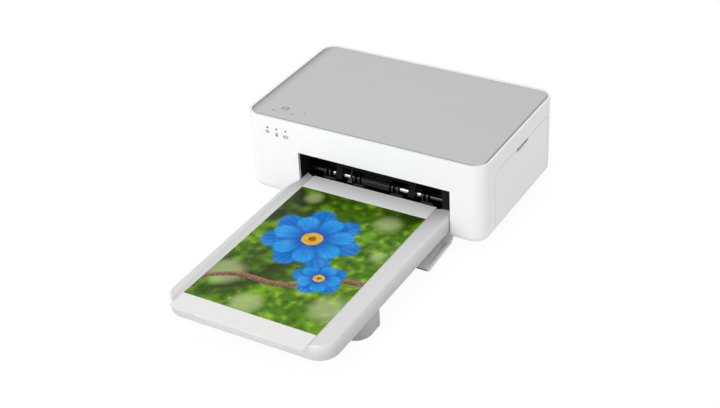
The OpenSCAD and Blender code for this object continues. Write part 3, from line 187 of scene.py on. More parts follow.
def arc(cx, cy, radius, start, end, steps=12):
    """Points on an arc, in degrees."""
    turns = [math.radians(start + (end - start) * i / steps) for i in range(steps + 1)]
    return [(cx + radius * math.cos(t), cy + radius * math.sin(t)) for t in turns]


# %% Rounding, cutting and softening
def runs(edge, axis):
    """Whether an edge runs along an axis (0, 1 or 2)."""
    a, b = (of(v.co) for v in edge.verts)
    return all(abs(a[k] - b[k]) < 0.01 for k in range(3) if k != axis)


def near(edge, axis, value, slack=0.05):
    """Whether both ends of an edge lie at a value on an axis."""
    return all(abs(of(v.co)[axis] - value) < slack for v in edge.verts)


def round_edges(piece, test, radius, steps=10):
    """Rounds the chosen edges with a fillet of that radius."""
    pick(piece, "EDGE", test)
    bpy.ops.mesh.bevel(offset=radius * mm, segments=steps, profile=0.5, affect="EDGES", clamp_overlap=False)
    only(piece)


def sink_top(piece, rim, drop):
    """Sinks the top face inside a rim of that width."""
    pick(piece, "FACE", lambda f: f.normal.z > 0.9)
    bpy.ops.mesh.inset(thickness=rim * mm)
    bpy.ops.mesh.extrude_region_move(TRANSFORM_OT_translate={"value": (0, 0, -drop * mm)})
    only(piece)


def combine(piece, other, how="DIFFERENCE"):
    """Cuts, joins or intersects with another shape, which is used up."""
    only(piece)
    step = piece.modifiers.new("combine", "BOOLEAN")
    step.operation, step.solver, step.object = how, "EXACT", other
    bpy.ops.object.modifier_apply(modifier=step.name)
    bpy.data.objects.remove(other)


def soften(piece, width, steps=2, angle=32):
    """A small rounding along every sharp edge."""
    only(piece)
    step = piece.modifiers.new("soften", "BEVEL")
    step.width, step.segments, step.limit_method = width * mm, steps, "ANGLE"
    step.angle_limit = math.radians(angle)
    step.use_clamp_overlap = True
    step.miter_outer = "MITER_ARC"
    bpy.ops.object.modifier_apply(modifier=step.name)
    return piece


def smooth(piece, angle=40):
    """Smooth shading over all but the sharp edges, with flat faces kept flat."""
    only(piece)
    bpy.ops.object.shade_smooth_by_angle(angle=math.radians(angle))
    step = piece.modifiers.new("flat_faces", "WEIGHTED_NORMAL")
    step.keep_sharp = True
    bpy.ops.object.modifier_apply(modifier=step.name)


def turn_about_x(piece, degrees, y, z):
    """Turns a mesh about an axis along X."""
    centre = at(0, y, z)
    piece.data.transform(
        Matrix.Translation(centre) @ Matrix.Rotation(math.radians(degrees), 4, "X") @ Matrix.Translation(-centre))


def settle(piece, body, slot, paint, *stands_for):
    """Gives a finished piece its paint and its body, and hides the CAD nodes that it stands for. slot is not used."""
    piece.data.materials.clear()
    piece.data.materials.append(paint)
    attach(piece, body)
    if stands_for:
        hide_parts(*stands_for)
    print(f"{piece.name}: {len(piece.data.polygons)} faces")


# %% [markdown]
# ## Shader arithmetic
# A pattern is a formula over the surface. The class below wraps one socket, so that a formula is typed with
# ordinary signs and each sign adds a Math node. Paint holds one material and adds every other kind of node.


# %% Shader tools
class Term:
    """One output socket that understands + - * / and a few functions."""

    def __init__(self, tree, socket):
        self.tree, self.socket = tree, socket

    def math(self, operation, *terms):
        node = self.tree.nodes.new("ShaderNodeMath")
        node.operation = operation
        for socket, value in zip(node.inputs, terms):
            feed(self.tree, socket, value)
        return Term(self.tree, node.outputs[0])

    def __add__(self, other): return self.math("ADD", self, other)
    def __radd__(self, other): return self.math("ADD", other, self)
    def __sub__(self, other): return self.math("SUBTRACT", self, other)
    def __rsub__(self, other): return self.math("SUBTRACT", other, self)
    def __mul__(self, other): return self.math("MULTIPLY", self, other)
    def __rmul__(self, other): return self.math("MULTIPLY", other, self)
    def __truediv__(self, other): return self.math("DIVIDE", self, other)
    def __pow__(self, other): return self.math("POWER", self, other)
    def __lt__(self, other): return self.math("LESS_THAN", self, other)
    def __gt__(self, other): return self.math("GREATER_THAN", self, other)
    def __abs__(self): return self.math("ABSOLUTE", self)
    def sin(self): return self.math("SINE", self)
    def cos(self): return self.math("COSINE", self)
    def sqrt(self): return self.math("SQRT", self)
    def least(self, other): return self.math("MINIMUM", self, other)
    def most(self, other): return self.math("MAXIMUM", self, other)

    def rise(self, low, high):
        """0 below low, 1 above high and a smooth step between them."""
        node = self.tree.nodes.new("ShaderNodeMapRange")
        node.interpolation_type = "SMOOTHSTEP"
        for socket, value in zip(node.inputs, (self, low, high, 0, 1)):
            feed(self.tree, socket, value)
        return Term(self.tree, node.outputs[0])


def feed(tree, socket, value):
    """Links a Term to a socket, or sets the socket to a number or colour."""
    if isinstance(value, Term):
        tree.links.new(value.socket, socket)
    elif isinstance(value, tuple) and len(value) == 3 and socket.type == "RGBA":
        socket.default_value = (*value, 1)
    else:
        socket.default_value = value


class Paint:
    """A material with a Principled surface."""

    def __init__(self, name, colour, rough, **fixed):
        self.material = bpy.data.materials.new(name)
        self.material.use_nodes = True
        self.tree = self.material.node_tree
        self.surface = self.tree.nodes["Principled BSDF"]
        self.set("Base Color", colour)
        self.set("Roughness", rough)
        for socket, value in fixed.items():
            self.set(socket.replace("_", " "), value)

    def set(self, socket, value):
        feed(self.tree, self.surface.inputs[socket], value)

    def node(self, kind, settings, sockets, out=0):
        node = self.tree.nodes.new("ShaderNode" + kind)
        for name, value in settings.items():
            setattr(node, name, value)
        for name, value in sockets.items():
            feed(self.tree, node.inputs[name], value)
        return Term(self.tree, node.outputs[out])

    def place(self, stretch=(1, 1, 1)):
        """Object coordinates in millimetres, as one vector."""
        raw = self.node("TexCoord", {}, {}, "Object")
        return self.node("Mapping", {}, {"Vector": raw, "Scale": tuple(s / mm for s in stretch)})

    def axes(self, vector):
        """The x, y and z of a vector, each as a Term."""
        return [self.node("SeparateXYZ", {}, {0: vector}, out=k) for k in range(3)]

    def noise(self, scale, detail=3, stretch=(1, 1, 1), rough=0.55):
        """Noise with features of about 1 / scale millimetres."""
        where = self.place(stretch)
        return self.node("TexNoise", {}, {"Vector": where, "Scale": scale, "Detail": detail, "Roughness": rough})

    def mix(self, share, first, second):
        """From the first colour to the second, by share."""
        return self.node("Mix", {"data_type": "RGBA"}, {0: share, 6: first, 7: second}, out=2)

    def bump(self, height, depth_mm):
        """Relief from a height of 0 to 1, depth_mm deep."""
        relief = self.node("Bump", {}, {"Height": height, "Distance": depth_mm * mm, "Strength": 1.0})
        self.set("Normal", relief)


# %% [markdown]
# ## Finishes
# Moulded plastic is never one flat colour: the mould leaves a fine grain, handling leaves the gloss slightly
# uneven, and thin places look a little cooler. Metals get lines along the way they were ground or drawn. Each
# finish below is one function of a colour and a grain, so the whole printer is painted from a short list.


# %% Plastics and rubber
spark_grain = 4.0


def shade(colour, factor):
    return tuple(min(1.0, c * factor) for c in colour)


def moulded(name, colour, rough, grain=0.012, uneven=0.03, **fixed):
    """Moulded plastic: fine spark-eroded grain, and gloss and tone that wander slowly."""
    paint = Paint(name, colour, rough, **fixed)
    cloud = paint.noise(0.03, 2)
    paint.set("Base Color", paint.mix(cloud, shade(colour, 1 - uneven), shade(colour, 1 + uneven)))
    paint.set("Roughness", rough - 0.05 + 0.1 * paint.noise(0.12, 3))
    paint.bump(paint.noise(spark_grain, 2), grain)
    return paint.material


shell_white = moulded("shell_white", (0.86, 0.86, 0.86), 0.34, grain=0.004, uneven=0.008)
button_grey = moulded("button_grey", (0.47, 0.47, 0.475), 0.5, grain=0.012, uneven=0.01)
# painted light: the flap is white plastic like the shell, painted paler so that it reads brighter in the tray's shade
flap_white_brightened = moulded("flap_white_brightened", (0.93, 0.93, 0.93), 0.42, grain=0.006, uneven=0.01)
# painted shade: dark strips for the flap's grooves and a painted shadow under its free edge
groove_shade_grey = moulded("groove_shade_grey", (0.16, 0.16, 0.163), 0.6, grain=0.003)
foot_grey = moulded("foot_grey", (0.44, 0.44, 0.445), 0.5, grain=0.01)
mouth_black = moulded("mouth_black", (0.0015, 0.0015, 0.0016), 0.5, grain=0.02, uneven=0.15, Specular_IOR_Level=0.03)
# painted light: the mouth's cheek and left wall take a lighter black than the hood, for the light that falls on them
lit_wall_black = moulded("lit_wall_black", (0.010, 0.010, 0.0105), 0.5, grain=0.02, uneven=0.1, Specular_IOR_Level=0.1)
disc_black = moulded("disc_black", (0.001, 0.001, 0.0011), 0.16, grain=0.001, uneven=0.1, Specular_IOR_Level=0.45)
roller_black = moulded("roller_black", (0.016, 0.016, 0.017), 0.55, grain=0.02, uneven=0.15)
shaft_dark = moulded("shaft_dark", (0.003, 0.003, 0.0032), 0.12, grain=0.001, uneven=0.1, Specular_IOR_Level=0.6)
fin_grey = moulded("fin_grey", (0.035, 0.035, 0.036), 0.4, grain=0.004, uneven=0.05)
finger_grey = moulded("finger_grey", (0.004, 0.004, 0.0042), 0.3, grain=0.004, uneven=0.1, Specular_IOR_Level=0.12)
rubber_black = moulded("rubber_black", (0.006, 0.006, 0.006), 0.3, grain=0.008, uneven=0.2, Specular_IOR_Level=0.35)
rubber_grey = moulded("rubber_grey", (0.09, 0.09, 0.092), 0.75, grain=0.03, uneven=0.15)
cartridge_grey = moulded("cartridge_grey", (0.07, 0.07, 0.075), 0.45, grain=0.015, uneven=0.08)
gear_cream = moulded("gear_cream", (0.78, 0.75, 0.66), 0.4, grain=0.006, uneven=0.03)
lens_smoke = moulded("lens_smoke", (0.004, 0.004, 0.005), 0.4, grain=0.001, uneven=0.05)
ink_grey = moulded("ink_grey", (0.20, 0.20, 0.205), 0.6, grain=0.003, uneven=0.05)
mark_grey = moulded("mark_grey", (0.10, 0.10, 0.105), 0.6, grain=0.003, uneven=0.05)
sheet_grey = moulded("sheet_grey", (0.24, 0.24, 0.245), 0.6, grain=0.003, uneven=0.05)


# %% Tray plastic and panel lacquer, both with painted shade
def plastic_with_painted_wall_shade(name, low, high, pale, dark):
    """Moulded plastic with painted shade: darker down its side walls, between two heights."""
    paint = Paint(name, (pale, pale, pale), 0.4)
    x, y, z = paint.axes(paint.place())
    level = (z - shell_low.z / mm).rise(low, high)
    cloud = 0.98 + 0.04 * paint.noise(0.03, 2)
    grey_cloud = paint.node("CombineColor", {}, {0: cloud, 1: cloud, 2: cloud})
    # painted shade: the colour goes from dark low on the walls to pale at the rim
    tone = paint.mix(level, (dark, dark, dark), (pale, pale, pale))
    multiply = {"data_type": "RGBA", "blend_type": "MULTIPLY"}
    paint.set("Base Color", paint.node("Mix", multiply, {0: 1, 6: tone, 7: grey_cloud}, out=2))
    paint.set("Roughness", 0.35 + 0.1 * paint.noise(0.12, 3))
    paint.bump(paint.noise(spark_grain, 2), 0.006)
    return paint.material


def lacquer_with_painted_shade(half_x, low_y):
    """Matt lacquer with painted shade: a dark band along the front and side edges, and wider shade at the left end.
    """
    paint = Paint("panel_grey", (0.55, 0.55, 0.552), 0.62)
    x, y, z = paint.axes(paint.place())
    rim = (half_x - abs(x)).least(y - low_y)
    cloud = paint.noise(0.02, 2)
    face = paint.mix(cloud, (0.540, 0.540, 0.542), (0.556, 0.556, 0.558))
    # painted shade: darker over the 9 mm next to the left end, where the rim shades the panel
    side = 1 - (x + half_x).rise(0, 9)
    face = paint.mix(side * 0.6, face, (0.30, 0.30, 0.302))
    # painted shadow: a dark line along the front and side edges, in the gap under the rim
    paint.set("Base Color", paint.mix((1 - rim.rise(0.5, 2.2)) * 0.9, face, (0.25, 0.25, 0.252)))
    paint.set("Roughness", 0.58 + 0.08 * paint.noise(0.15, 3))
    paint.bump(paint.noise(5, 2), 0.015)
    return paint.material


tray_grey = plastic_with_painted_wall_shade("tray_grey", 7, 18.4, 0.69, 0.53)


# %% Metals
def drawn(name, colour, rough, along, scratch=0.004):
    """Metal with fine lines along one axis."""
    paint = Paint(name, colour, rough, Metallic=1.0)
    stretch = tuple(0.02 if k == along else 1.0 for k in range(3))
    lines = paint.noise(9, 2, stretch)
    paint.set("Base Color", paint.mix(lines, shade(colour, 0.86), shade(colour, 1.08)))
    paint.set("Roughness", rough - 0.08 + 0.16 * paint.noise(5, 2, stretch))
    paint.bump(lines, scratch)
    return paint.material


steel = drawn("steel", (0.58, 0.58, 0.60), 0.26, along=0)
zinc_sheet = drawn("zinc_sheet", (0.56, 0.57, 0.58), 0.36, along=1)
brass = drawn("brass", (0.70, 0.52, 0.23), 0.28, along=0)
aluminium = drawn("aluminium", (0.70, 0.70, 0.72), 0.32, along=0)
glazed_bar = moulded("glazed_bar", (0.22, 0.21, 0.20), 0.15, grain=0.002, uneven=0.1)


# %% Boards, film and plain paper
def solder_mask():
    """Green board with faint copper runs under the mask."""
    paint = Paint("board_green", (0.02, 0.15, 0.07), 0.3)
    x, y, z = paint.axes(paint.place())
    runs_across = ((y + 0.35 * z) * 2.1).sin().rise(0.75, 0.95)
    runs_along = ((z - 0.2 * y + x) * 1.7).sin().rise(0.8, 0.95)
    paint.set("Base Color", paint.mix(runs_across.most(runs_along), (0.015, 0.13, 0.06), (0.03, 0.24, 0.11)))
    paint.bump(runs_across.most(runs_along), 0.02)
    return paint.material


def dye_film():
    """Ribbon film: wide bands of yellow, magenta and cyan across the path."""
    paint = Paint("ribbon_film", (0.8, 0.6, 0.05), 0.2)
    x, y, z = paint.axes(paint.place())
    band = (y * 0.11).sin()
    warm = paint.mix(band.rise(-0.4, -0.3), (0.75, 0.55, 0.03), (0.55, 0.03, 0.2))
    paint.set("Base Color", paint.mix(band.rise(0.4, 0.5), warm, (0.02, 0.3, 0.5)))
    paint.set("Roughness", 0.16 + 0.1 * paint.noise(0.2, 2))
    return paint.material


def plain_paper():
    """The back of photo paper: white with the faintest fibre."""
    paint = Paint("plain_paper", (0.88, 0.88, 0.87), 0.7)
    fibre = paint.noise(1.2, 4)
    paint.set("Base Color", paint.mix(fibre, (0.84, 0.84, 0.83), (0.91, 0.91, 0.9)))
    paint.bump(fibre, 0.01)
    return paint.material


board_green, ribbon_dyes, paper_white = solder_mask(), dye_film(), plain_paper()

# %% [markdown]
# ## The shell
# The casing is one moulding: a box with upright corners of 12 mm, a bottom edge rolled by 7 mm and a thin rim
# that stands round the top panel. It starts as a block. The upright edges are rounded first and the bottom loop
# after them, so the two fillets run into each other as they do on the real moulding. A second, smaller block,
# rounded in the same way, hollows it out, and plain cutters open the mouth, the door and the back.


# %% Shell blank
def box_with_rolled_edge(name, low, high, corner, edge):
    """A block with rounded upright edges and a rounded bottom loop."""
    piece = block(name, low, high)
    round_edges(piece, lambda e: runs(e, 2), corner, 14)
    round_edges(piece, lambda e: near(e, 2, low[2]), edge, 8)
    return piece


wall, corner_r, edge_r = 2.4, 12, 7
rim_w, sunk = 1.75, 2.2
deck_z = height - sunk
shell = box_with_rolled_edge("shell", (-half_w, 0, 0), (half_w, depth, height), corner_r, edge_r)
sink_top(shell, rim_w, sunk)
room_low, room_high = (-half_w + wall, wall, wall), (half_w - wall, depth - wall, deck_z - wall)
room = box_with_rolled_edge("room", room_low, room_high, corner_r - wall, edge_r - wall)
combine(shell, room)

# %% Openings in the shell
mouth_x0, mouth_x1, mouth_top = -52.2, 71.4, 40.0
door_y0, door_y1, door_top = 19.5, depth - 12.5, height - 13
under = block("under", (-half_w + edge_r, edge_r, -3), (half_w - edge_r, depth - edge_r, 3.5))
round_edges(under, lambda e: runs(e, 2), corner_r - edge_r, 6)
combine(shell, under)
combine(shell, block("mouth", (mouth_x0, -3, -3), (mouth_x1, 9, mouth_top)))
doorway = block("doorway", (half_w - edge_r, door_y0, -3), (half_w + 3, door_y1, door_top))
round_edges(doorway, lambda e: runs(e, 0) and near(e, 2, door_top), 5.35, 8)
combine(shell, doorway)
light_xs, light_z = (-77.0, -69.3, -61.6), 55.3
for x in light_xs:
    combine(shell, pin("light_hole", (x, -2, light_z), (x, 5, light_z), 0.78, 24))
combine(shell, block("paper_slot", (-49.8, depth - 5, 23), (55.8, depth + 3, 29.5)))
combine(shell, block("inlet_hole", (-71, depth - 5, 7.7), (-61.4, depth + 3, 18.3)))
for i in range(-5, 6):
    combine(shell, block("vent", (3 + 7 * i, depth - 5, 40), (5.4 + 7 * i, depth + 3, 51)))
soften(shell, 0.32, 3)
smooth(shell)
settle(shell, "printer", "shell_white", shell_white, "outer_shell")

# %% [markdown]
# ## Top panel and power button
# The panel is a separate plate with a fine matt grain, dropped into the rim with a hairline gap. It is a block
# with rounded upright edges and one round hole. The button is a cylinder whose top face is inset and raised, so that
# it is slightly domed inside a narrow ring; its stem goes down to the switch.

# %% Top panel
button_x, button_y, button_r = 26.05 - half_w, 17, 3.0
panel_in, panel_top = rim_w + 0.25, height - 0.2
panel_edge = panel_top - 0.4
panel = block("panel", (-half_w + panel_in, panel_in, deck_z), (half_w - panel_in, depth - panel_in, panel_edge))
round_edges(panel, lambda e: runs(e, 2), corner_r - panel_in, 14)
pick(panel, "FACE", lambda f: f.normal.z > 0.9)
for width, rise in ((0.6, 0.16), (1.4, 0.14), (2.6, 0.10)):
    bpy.ops.mesh.inset(thickness=width * mm, depth=rise * mm)
only(panel)
hole_low, hole_high = (button_x, button_y, deck_z - 2), (button_x, button_y, height + 2)
combine(panel, pin("button_hole", hole_low, hole_high, button_r + 0.2, 64))
soften(panel, 0.15, 2, 50)
smooth(panel, 35)
panel_grey = lacquer_with_painted_shade(half_w - panel_in, shell_low.y / mm + panel_in)
settle(panel, "printer", "panel_grey", panel_grey, "top_panel")

# %% Power button
cap_low, cap_high = (button_x, button_y, panel_top - 0.9), (button_x, button_y, panel_top - 0.35)
button = pin("button_cap", cap_low, cap_high, button_r, 72)


def on_dome(face):
    """Whether a face is the top of the button so far."""
    high = face.calc_center_median().z > at(0, 0, panel_top - 0.6).z
    return face.normal.z > 0.95 and high and face.calc_area() > 1e-6


for risen in (0.12, 0.1, 0.08, 0.05, 0.02):
    pick(button, "FACE", on_dome)
    bpy.ops.mesh.inset(thickness=0.42 * mm, depth=risen * mm)
only(button)
stem_low = (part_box("power_button")[0].z - shell_low.z) / mm
for radius, low, high in ((1.5, stem_low, 63.1), (2.5, 58.1, 59.1)):
    combine(button, pin("stem", (button_x, button_y, low), (button_x, button_y, high), radius, 32), "UNION")
soften(button, 0.08, 2, 50)
smooth(button)
settle(button, "button", "button_grey", button_grey, "power_button")

# %% [markdown]
# ## Printed marks
# The small marks by the button and under the three lights are printed in ink, so each is a shape only a few
# hundredths of a millimetre thick. They are ordinary signs: a fan of arcs for the wireless link, stacked bars for
# the ribbon and a sheet under an arc for paper. Arcs are short runs of small blocks. Made the same way, three
# white dots on the panel are painted highlights, and the button has a painted highlight dot and a painted shade arc.


# %% Ink shapes
ink_lift = 0.04


def ink_line(start, end, width, flat):
    """A thin stroke on the front face (flat = 1) or the top (flat = 2)."""
    only(None)
    a, b = Vector(start), Vector(end)
    run = b - a
    bpy.ops.mesh.primitive_cube_add(size=1, location=(0, 0, 0))
    stroke = bpy.context.object
    stroke.data.transform(Matrix.Diagonal((run.length + 0.6 * width, width, ink_lift * 2, 1)))
    side = Vector((0, -1, 0)) if flat == 1 else Vector((0, 0, 1))
    frame_axes = Matrix((run.normalized(), side.cross(run.normalized()), side)).transposed().to_4x4()
    middle = (a + b) / 2
    stroke.data.transform(Matrix.Translation(at(*middle)) @ frame_axes @ Matrix.Scale(mm, 4))
    return stroke


def ink_arc(cx, cy, radius, start, end, width, flat, level, steps=10):
    """An arc made of strokes, on the front face or the top."""
    ring = arc(cx, cy, radius, start, end, steps)
    lift = [(x, level, y) if flat == 1 else (x, y, level) for x, y in ring]
    return [ink_line(p, q, width, flat) for p, q in zip(lift, lift[1:])]


def join(name, shapes):
    """Several meshes joined into one."""
    only(shapes[0])
    for shape in shapes:
        shape.select_set(True)
    bpy.ops.object.join()
    bpy.context.object.name = name
    return bpy.context.object


# %% Signs under the lights
fan_x, bars_x, sheet_x = light_xs
marks = []
for radius, width in ((0.9, 0.5), (2.1, 0.55)):
    marks += ink_arc(fan_x - 0.2, 50.4, radius, 40, 140, width, 1, 0)
marks += ink_arc(fan_x - 0.2, 50.4, 0.15, 0, 360, 0.36, 1, 0, 8)
for z in (49.8, 50.8, 51.8):
    marks.append(ink_line((bars_x - 0.7, 0, z), (bars_x + 0.7, 0, z), 0.75, 1))
signs = join("light_signs", marks)
settle(signs, "printer", "black_plastic", mark_grey)
marks = []
for x0, z0, x1, z1 in ((-1.9, 49.9, 1.7, 49.9), (-1.9, 50.6, -0.3, 50.6), (-1.9, 50, -1.9, 52), (1.8, 50, 1.8, 51.6)):
    marks.append(ink_line((sheet_x + x0, 0, z0), (sheet_x + x1, 0, z1), 0.5, 1))
marks += ink_arc(sheet_x + 0.5, 50.9, 0.9, 10, 190, 0.5, 1, 0)
sheet_sign = join("sheet_sign", marks)
settle(sheet_sign, "printer", "black_plastic", sheet_grey)

# %% Marks on the panel and the button, with painted highlights and a painted shade arc
top_marks = []
for x, y, start, end, radius in (
        (-77.9, 11.2, 110, 250, 1.0), (-62.6, 11.5, -70, 70, 0.9), (-54.7, 16.3, 0, 300, 0.3)):
    top_marks += ink_arc(x, y, radius, start, end, 0.45, 2, panel_top, 8)
top_signs = join("top_signs", top_marks)
settle(top_signs, "printer", "panel_grey", ink_grey)
# painted highlights: three white dots on the panel
glints = []
for x, y in ((-76.4, 10.6), (-75.4, 12.2), (-74.9, 10.2)):
    glints += ink_arc(x, y, 0.12, 0, 360, 0.4, 2, panel_top, 8)
panel_glints = join("top_glints", glints)
settle(panel_glints, "printer", "shell_white", shell_white)
button_level = panel_top - 0.05
# painted shade: a dark arc on the right of the domed button, where it turns away from the light
button_shade = join("painted_button_shade", ink_arc(button_x, button_y, 1.9, -60, 50, 0.4, 2, button_level))
settle(button_shade, "button", "button_grey", ink_grey)
# painted highlight: a white dot at the button's upper left
glint = join("button_glint", ink_arc(button_x - 1.9, button_y - 0.1, 0.3, 0, 360, 0.6, 2, button_level, 8))
settle(glint, "button", "button_grey", shell_white)

# %% [markdown]
# ## Flap
# The flap closes the mouth. It is modelled as it stands when closed, because there its sides are square to the
# axes, and then it is turned down about its hinge. Its lower edge carries the roll of the shell's bottom edge, and
# its inner face is sunk inside a narrow border, with dark strips in the grooves as painted shade.

# %% Flap
flap_x0, flap_x1, flap_top, flap_t = mouth_x0 + 0.4, mouth_x1 - 0.4, mouth_top - 0.4, 2.0
hinge_y, hinge_z, flap_open, pin_bore = 6, 1.1, 94.5, 1.26
flap = block("flap", (flap_x0, 0, 0), (flap_x1, edge_r + 1, flap_top))
round_edges(flap, lambda e: runs(e, 0) and near(e, 1, 0) and near(e, 2, 0), edge_r, 8)
hollow = block("hollow", (flap_x0 - 1, flap_t, flap_t), (flap_x1 + 1, edge_r + 3, flap_top + 2))
round_edges(hollow, lambda e: runs(e, 0) and near(e, 1, flap_t) and near(e, 2, flap_t), edge_r - flap_t, 8)
combine(flap, hollow)
combine(flap, block("back", (flap_x0 - 1, 4.8, -1), (flap_x1 + 1, edge_r + 3, flap_top + 2)))
round_edges(flap, lambda e: runs(e, 1) and near(e, 2, flap_top), 1.2, 4)
seam_x0, seam_x1, seam_top = flap_x0 + 2.4, flap_x1 - 2.4, flap_top - 5.6
combine(flap, block("sunk", (seam_x0, flap_t - 0.6, edge_r), (seam_x1, 4, seam_top)))
for x0, z0, x1, z1 in ((seam_x0 - 0.1, edge_r, seam_x0 + 0.7, seam_top),
                       (seam_x1 - 0.7, edge_r, seam_x1 + 0.1, seam_top),
                       (seam_x0, seam_top - 0.7, seam_x1, seam_top + 0.1)):
    combine(flap, block("groove", (x0, flap_t - 0.9, z0), (x1, 4, z1)))
combine(flap, pin("knuckle", (flap_x0, hinge_y, hinge_z), (flap_x1, hinge_y, hinge_z), 1.9, 32), "UNION")
for x in (flap_x0, flap_x1):
    combine(flap, pin("bore", (x - 8, hinge_y, hinge_z), (x + 8, hinge_y, hinge_z), pin_bore, 24))
soften(flap, 0.2, 2)
turn_about_x(flap, flap_open, hinge_y, hinge_z)
smooth(flap)
settle(flap, "flap", "flap_white", flap_white_brightened, "front_flap")

# %% Painted shade in the grooves round the flap's sunk face, and a painted shadow along its free edge
lines = []
for x0, z0, x1, z1 in ((seam_x0, edge_r, seam_x0 + 0.7, seam_top - 0.1),
                       (seam_x1 - 0.7, edge_r, seam_x1, seam_top - 0.1),
                       (seam_x0, seam_top - 0.7, seam_x1, seam_top)):
    lines.append(block("line", (x0, flap_t - 0.95, z0), (x1, flap_t - 0.72, z1)))
lines.append(block("edge", (flap_x0 + 1.5, 0.5, flap_top - 0.05), (flap_x1 - 1.5, 1.5, flap_top + 0.03)))
lines = join("flap_shade_lines", lines)
turn_about_x(lines, flap_open, hinge_y, hinge_z)
settle(lines, "flap", "flap_white", groove_shade_grey)

# %% [markdown]
# ## Cartridge door
# The door is a piece of the right wall: it has the wall's thickness, the shell's rolled lower edge and two round
# upper corners. It starts as a solid block with those fillets, and a second block with a smaller fillet hollows it.

# %% Cartridge door
door_a, door_b, door_high = door_y0 + 0.35, door_y1 - 0.35, door_top - 0.35
axis_x, axis_z = half_w - edge_r, edge_r
door = block("door", (axis_x, door_a, 0), (half_w, door_b, door_high))
round_edges(door, lambda e: runs(e, 1) and near(e, 0, half_w) and near(e, 2, 0), edge_r, 8)
round_edges(door, lambda e: runs(e, 0) and near(e, 2, door_high), 5, 8)
hollow = block("hollow", (axis_x - 2, door_a - 1, wall), (half_w - wall, door_b + 1, door_high + 2))
round_edges(hollow, lambda e: runs(e, 1) and near(e, 0, half_w - wall) and near(e, 2, wall), edge_r - wall, 8)
combine(door, hollow)
combine(door, block("inside", (axis_x - 2, door_a - 1, edge_r), (half_w - wall, door_b + 1, door_high + 2)))
slot_a, slot_b = door_y0 + 35.5, door_y0 + 54.5
combine(door, block("finger_slot", (half_w - 4, slot_a, door_high - 2.5), (half_w + 2, slot_b, door_high + 2)))
for start in (door_a, door_b - 4):
    combine(door, pin("ear", (axis_x, start, axis_z), (axis_x, start + 4, axis_z), edge_r - wall / 2, 48), "UNION")
inner_x = half_w - wall
catch = block("catch", (inner_x - 2, slot_a + 2, door_high - 9), (inner_x + 0.5, slot_b - 2, door_high - 6))
combine(door, catch, "UNION")
for y in (door_y0, door_y1):
    combine(door, pin("bore", (axis_x, y - 6, axis_z), (axis_x, y + 6, axis_z), pin_bore, 24))
soften(door, 0.3, 3)
smooth(door)
settle(door, "door", "shell_white", shell_white, "cartridge_door")

# %% [markdown]
# ## Inside the mouth
# The parts that show in the mouth are glossy black or dark rubber, so their shape is read from highlights alone:
# it is the rounded edges that catch them. The rubber roller is a cylinder whose strips of faces are drawn
# outwards to make the ribs, and the collars on the shaft are short bored cylinders. A hood lines the mouth, with a
# cheek at its right end and a thin plate at its left. Two fingers on a tie bar hang in front of the shaft, and a
# small fin on a stem holds the print down.

# %% Ribbed roller
paper_x, nip_z, print_t, exit_r = 3.0, 15.3, 0.3, 4.6
roll_x, roll_y, roll_z = paper_x + 1.8, 16, nip_z + print_t + 0.1 + exit_r
ribs, shaft_r = 12, 2.0


def along_shaft(name, start, end, radius, sides=32):
    """A cylinder on the exit shaft's axis."""
    return pin(name, (start, roll_y, roll_z), (end, roll_y, roll_z), radius, sides)


roller = along_shaft("exit_roller_ribs", roll_x - 11.3, roll_x + 11.3, 3.35, ribs * 4)


def on_rib(face, k):
    """Whether a side face belongs to rib k. A rib is two faces in every four."""
    turn = math.degrees(math.atan2(face.normal.z, face.normal.y)) % 360
    ribbed = abs(face.normal.x) <= 0.5 and int(turn / (360 / (ribs * 4))) % 4 < 2
    return ribbed and int(turn / (360 / ribs)) == k


for k in range(ribs):
    pick(roller, "FACE", lambda f: on_rib(f, k))
    bpy.ops.mesh.extrude_region_shrink_fatten(TRANSFORM_OT_shrink_fatten={"value": 0.6 * mm})
only(roller)
combine(roller, along_shaft("bore", roll_x - 15, roll_x + 15, shaft_r))
soften(roller, 0.22, 2, 40)
smooth(roller)
settle(roller, "exit_roller", "black_rubber", rubber_black, "eject_roller")

# %% Collars on the shaft
collars = []
for offset in (-42.3, -38.5, -18.1, -13.9, 13.9, 18.1, 38.5, 42.3):
    x = roll_x + offset
    collar = along_shaft("collar", x - 0.9, x + 0.9, 4.1, 48)
    combine(collar, along_shaft("bore", x - 3, x + 3, shaft_r))
    collars.append(soften(collar, 0.5, 3))
collars = join("shaft_collars", collars)
smooth(collars)
settle(collars, "exit_roller", "black_plastic", disc_black, "eject_rings")

# %% Shaft with two bright sleeves
shaft_a, shaft_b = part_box("eject_shaft")
shaft = along_shaft("exit_shaft", shaft_a.x / mm, shaft_b.x / mm, shaft_r)
soften(shaft, 0.3, 2)
smooth(shaft)
settle(shaft, "exit_roller", "steel", shaft_dark, "eject_shaft")
sleeves = []
for start, end in ((-31.0, -14.3), (23.9, 41.0)):
    sleeve = along_shaft("sleeve", start, end, shaft_r + 0.15)
    combine(sleeve, along_shaft("bore", start - 2, end + 2, shaft_r + 0.02))
    sleeves.append(soften(sleeve, 0.12, 2))
sleeves = join("shaft_sleeves", sleeves)
smooth(sleeves)
settle(sleeves, "exit_roller", "steel", steel)

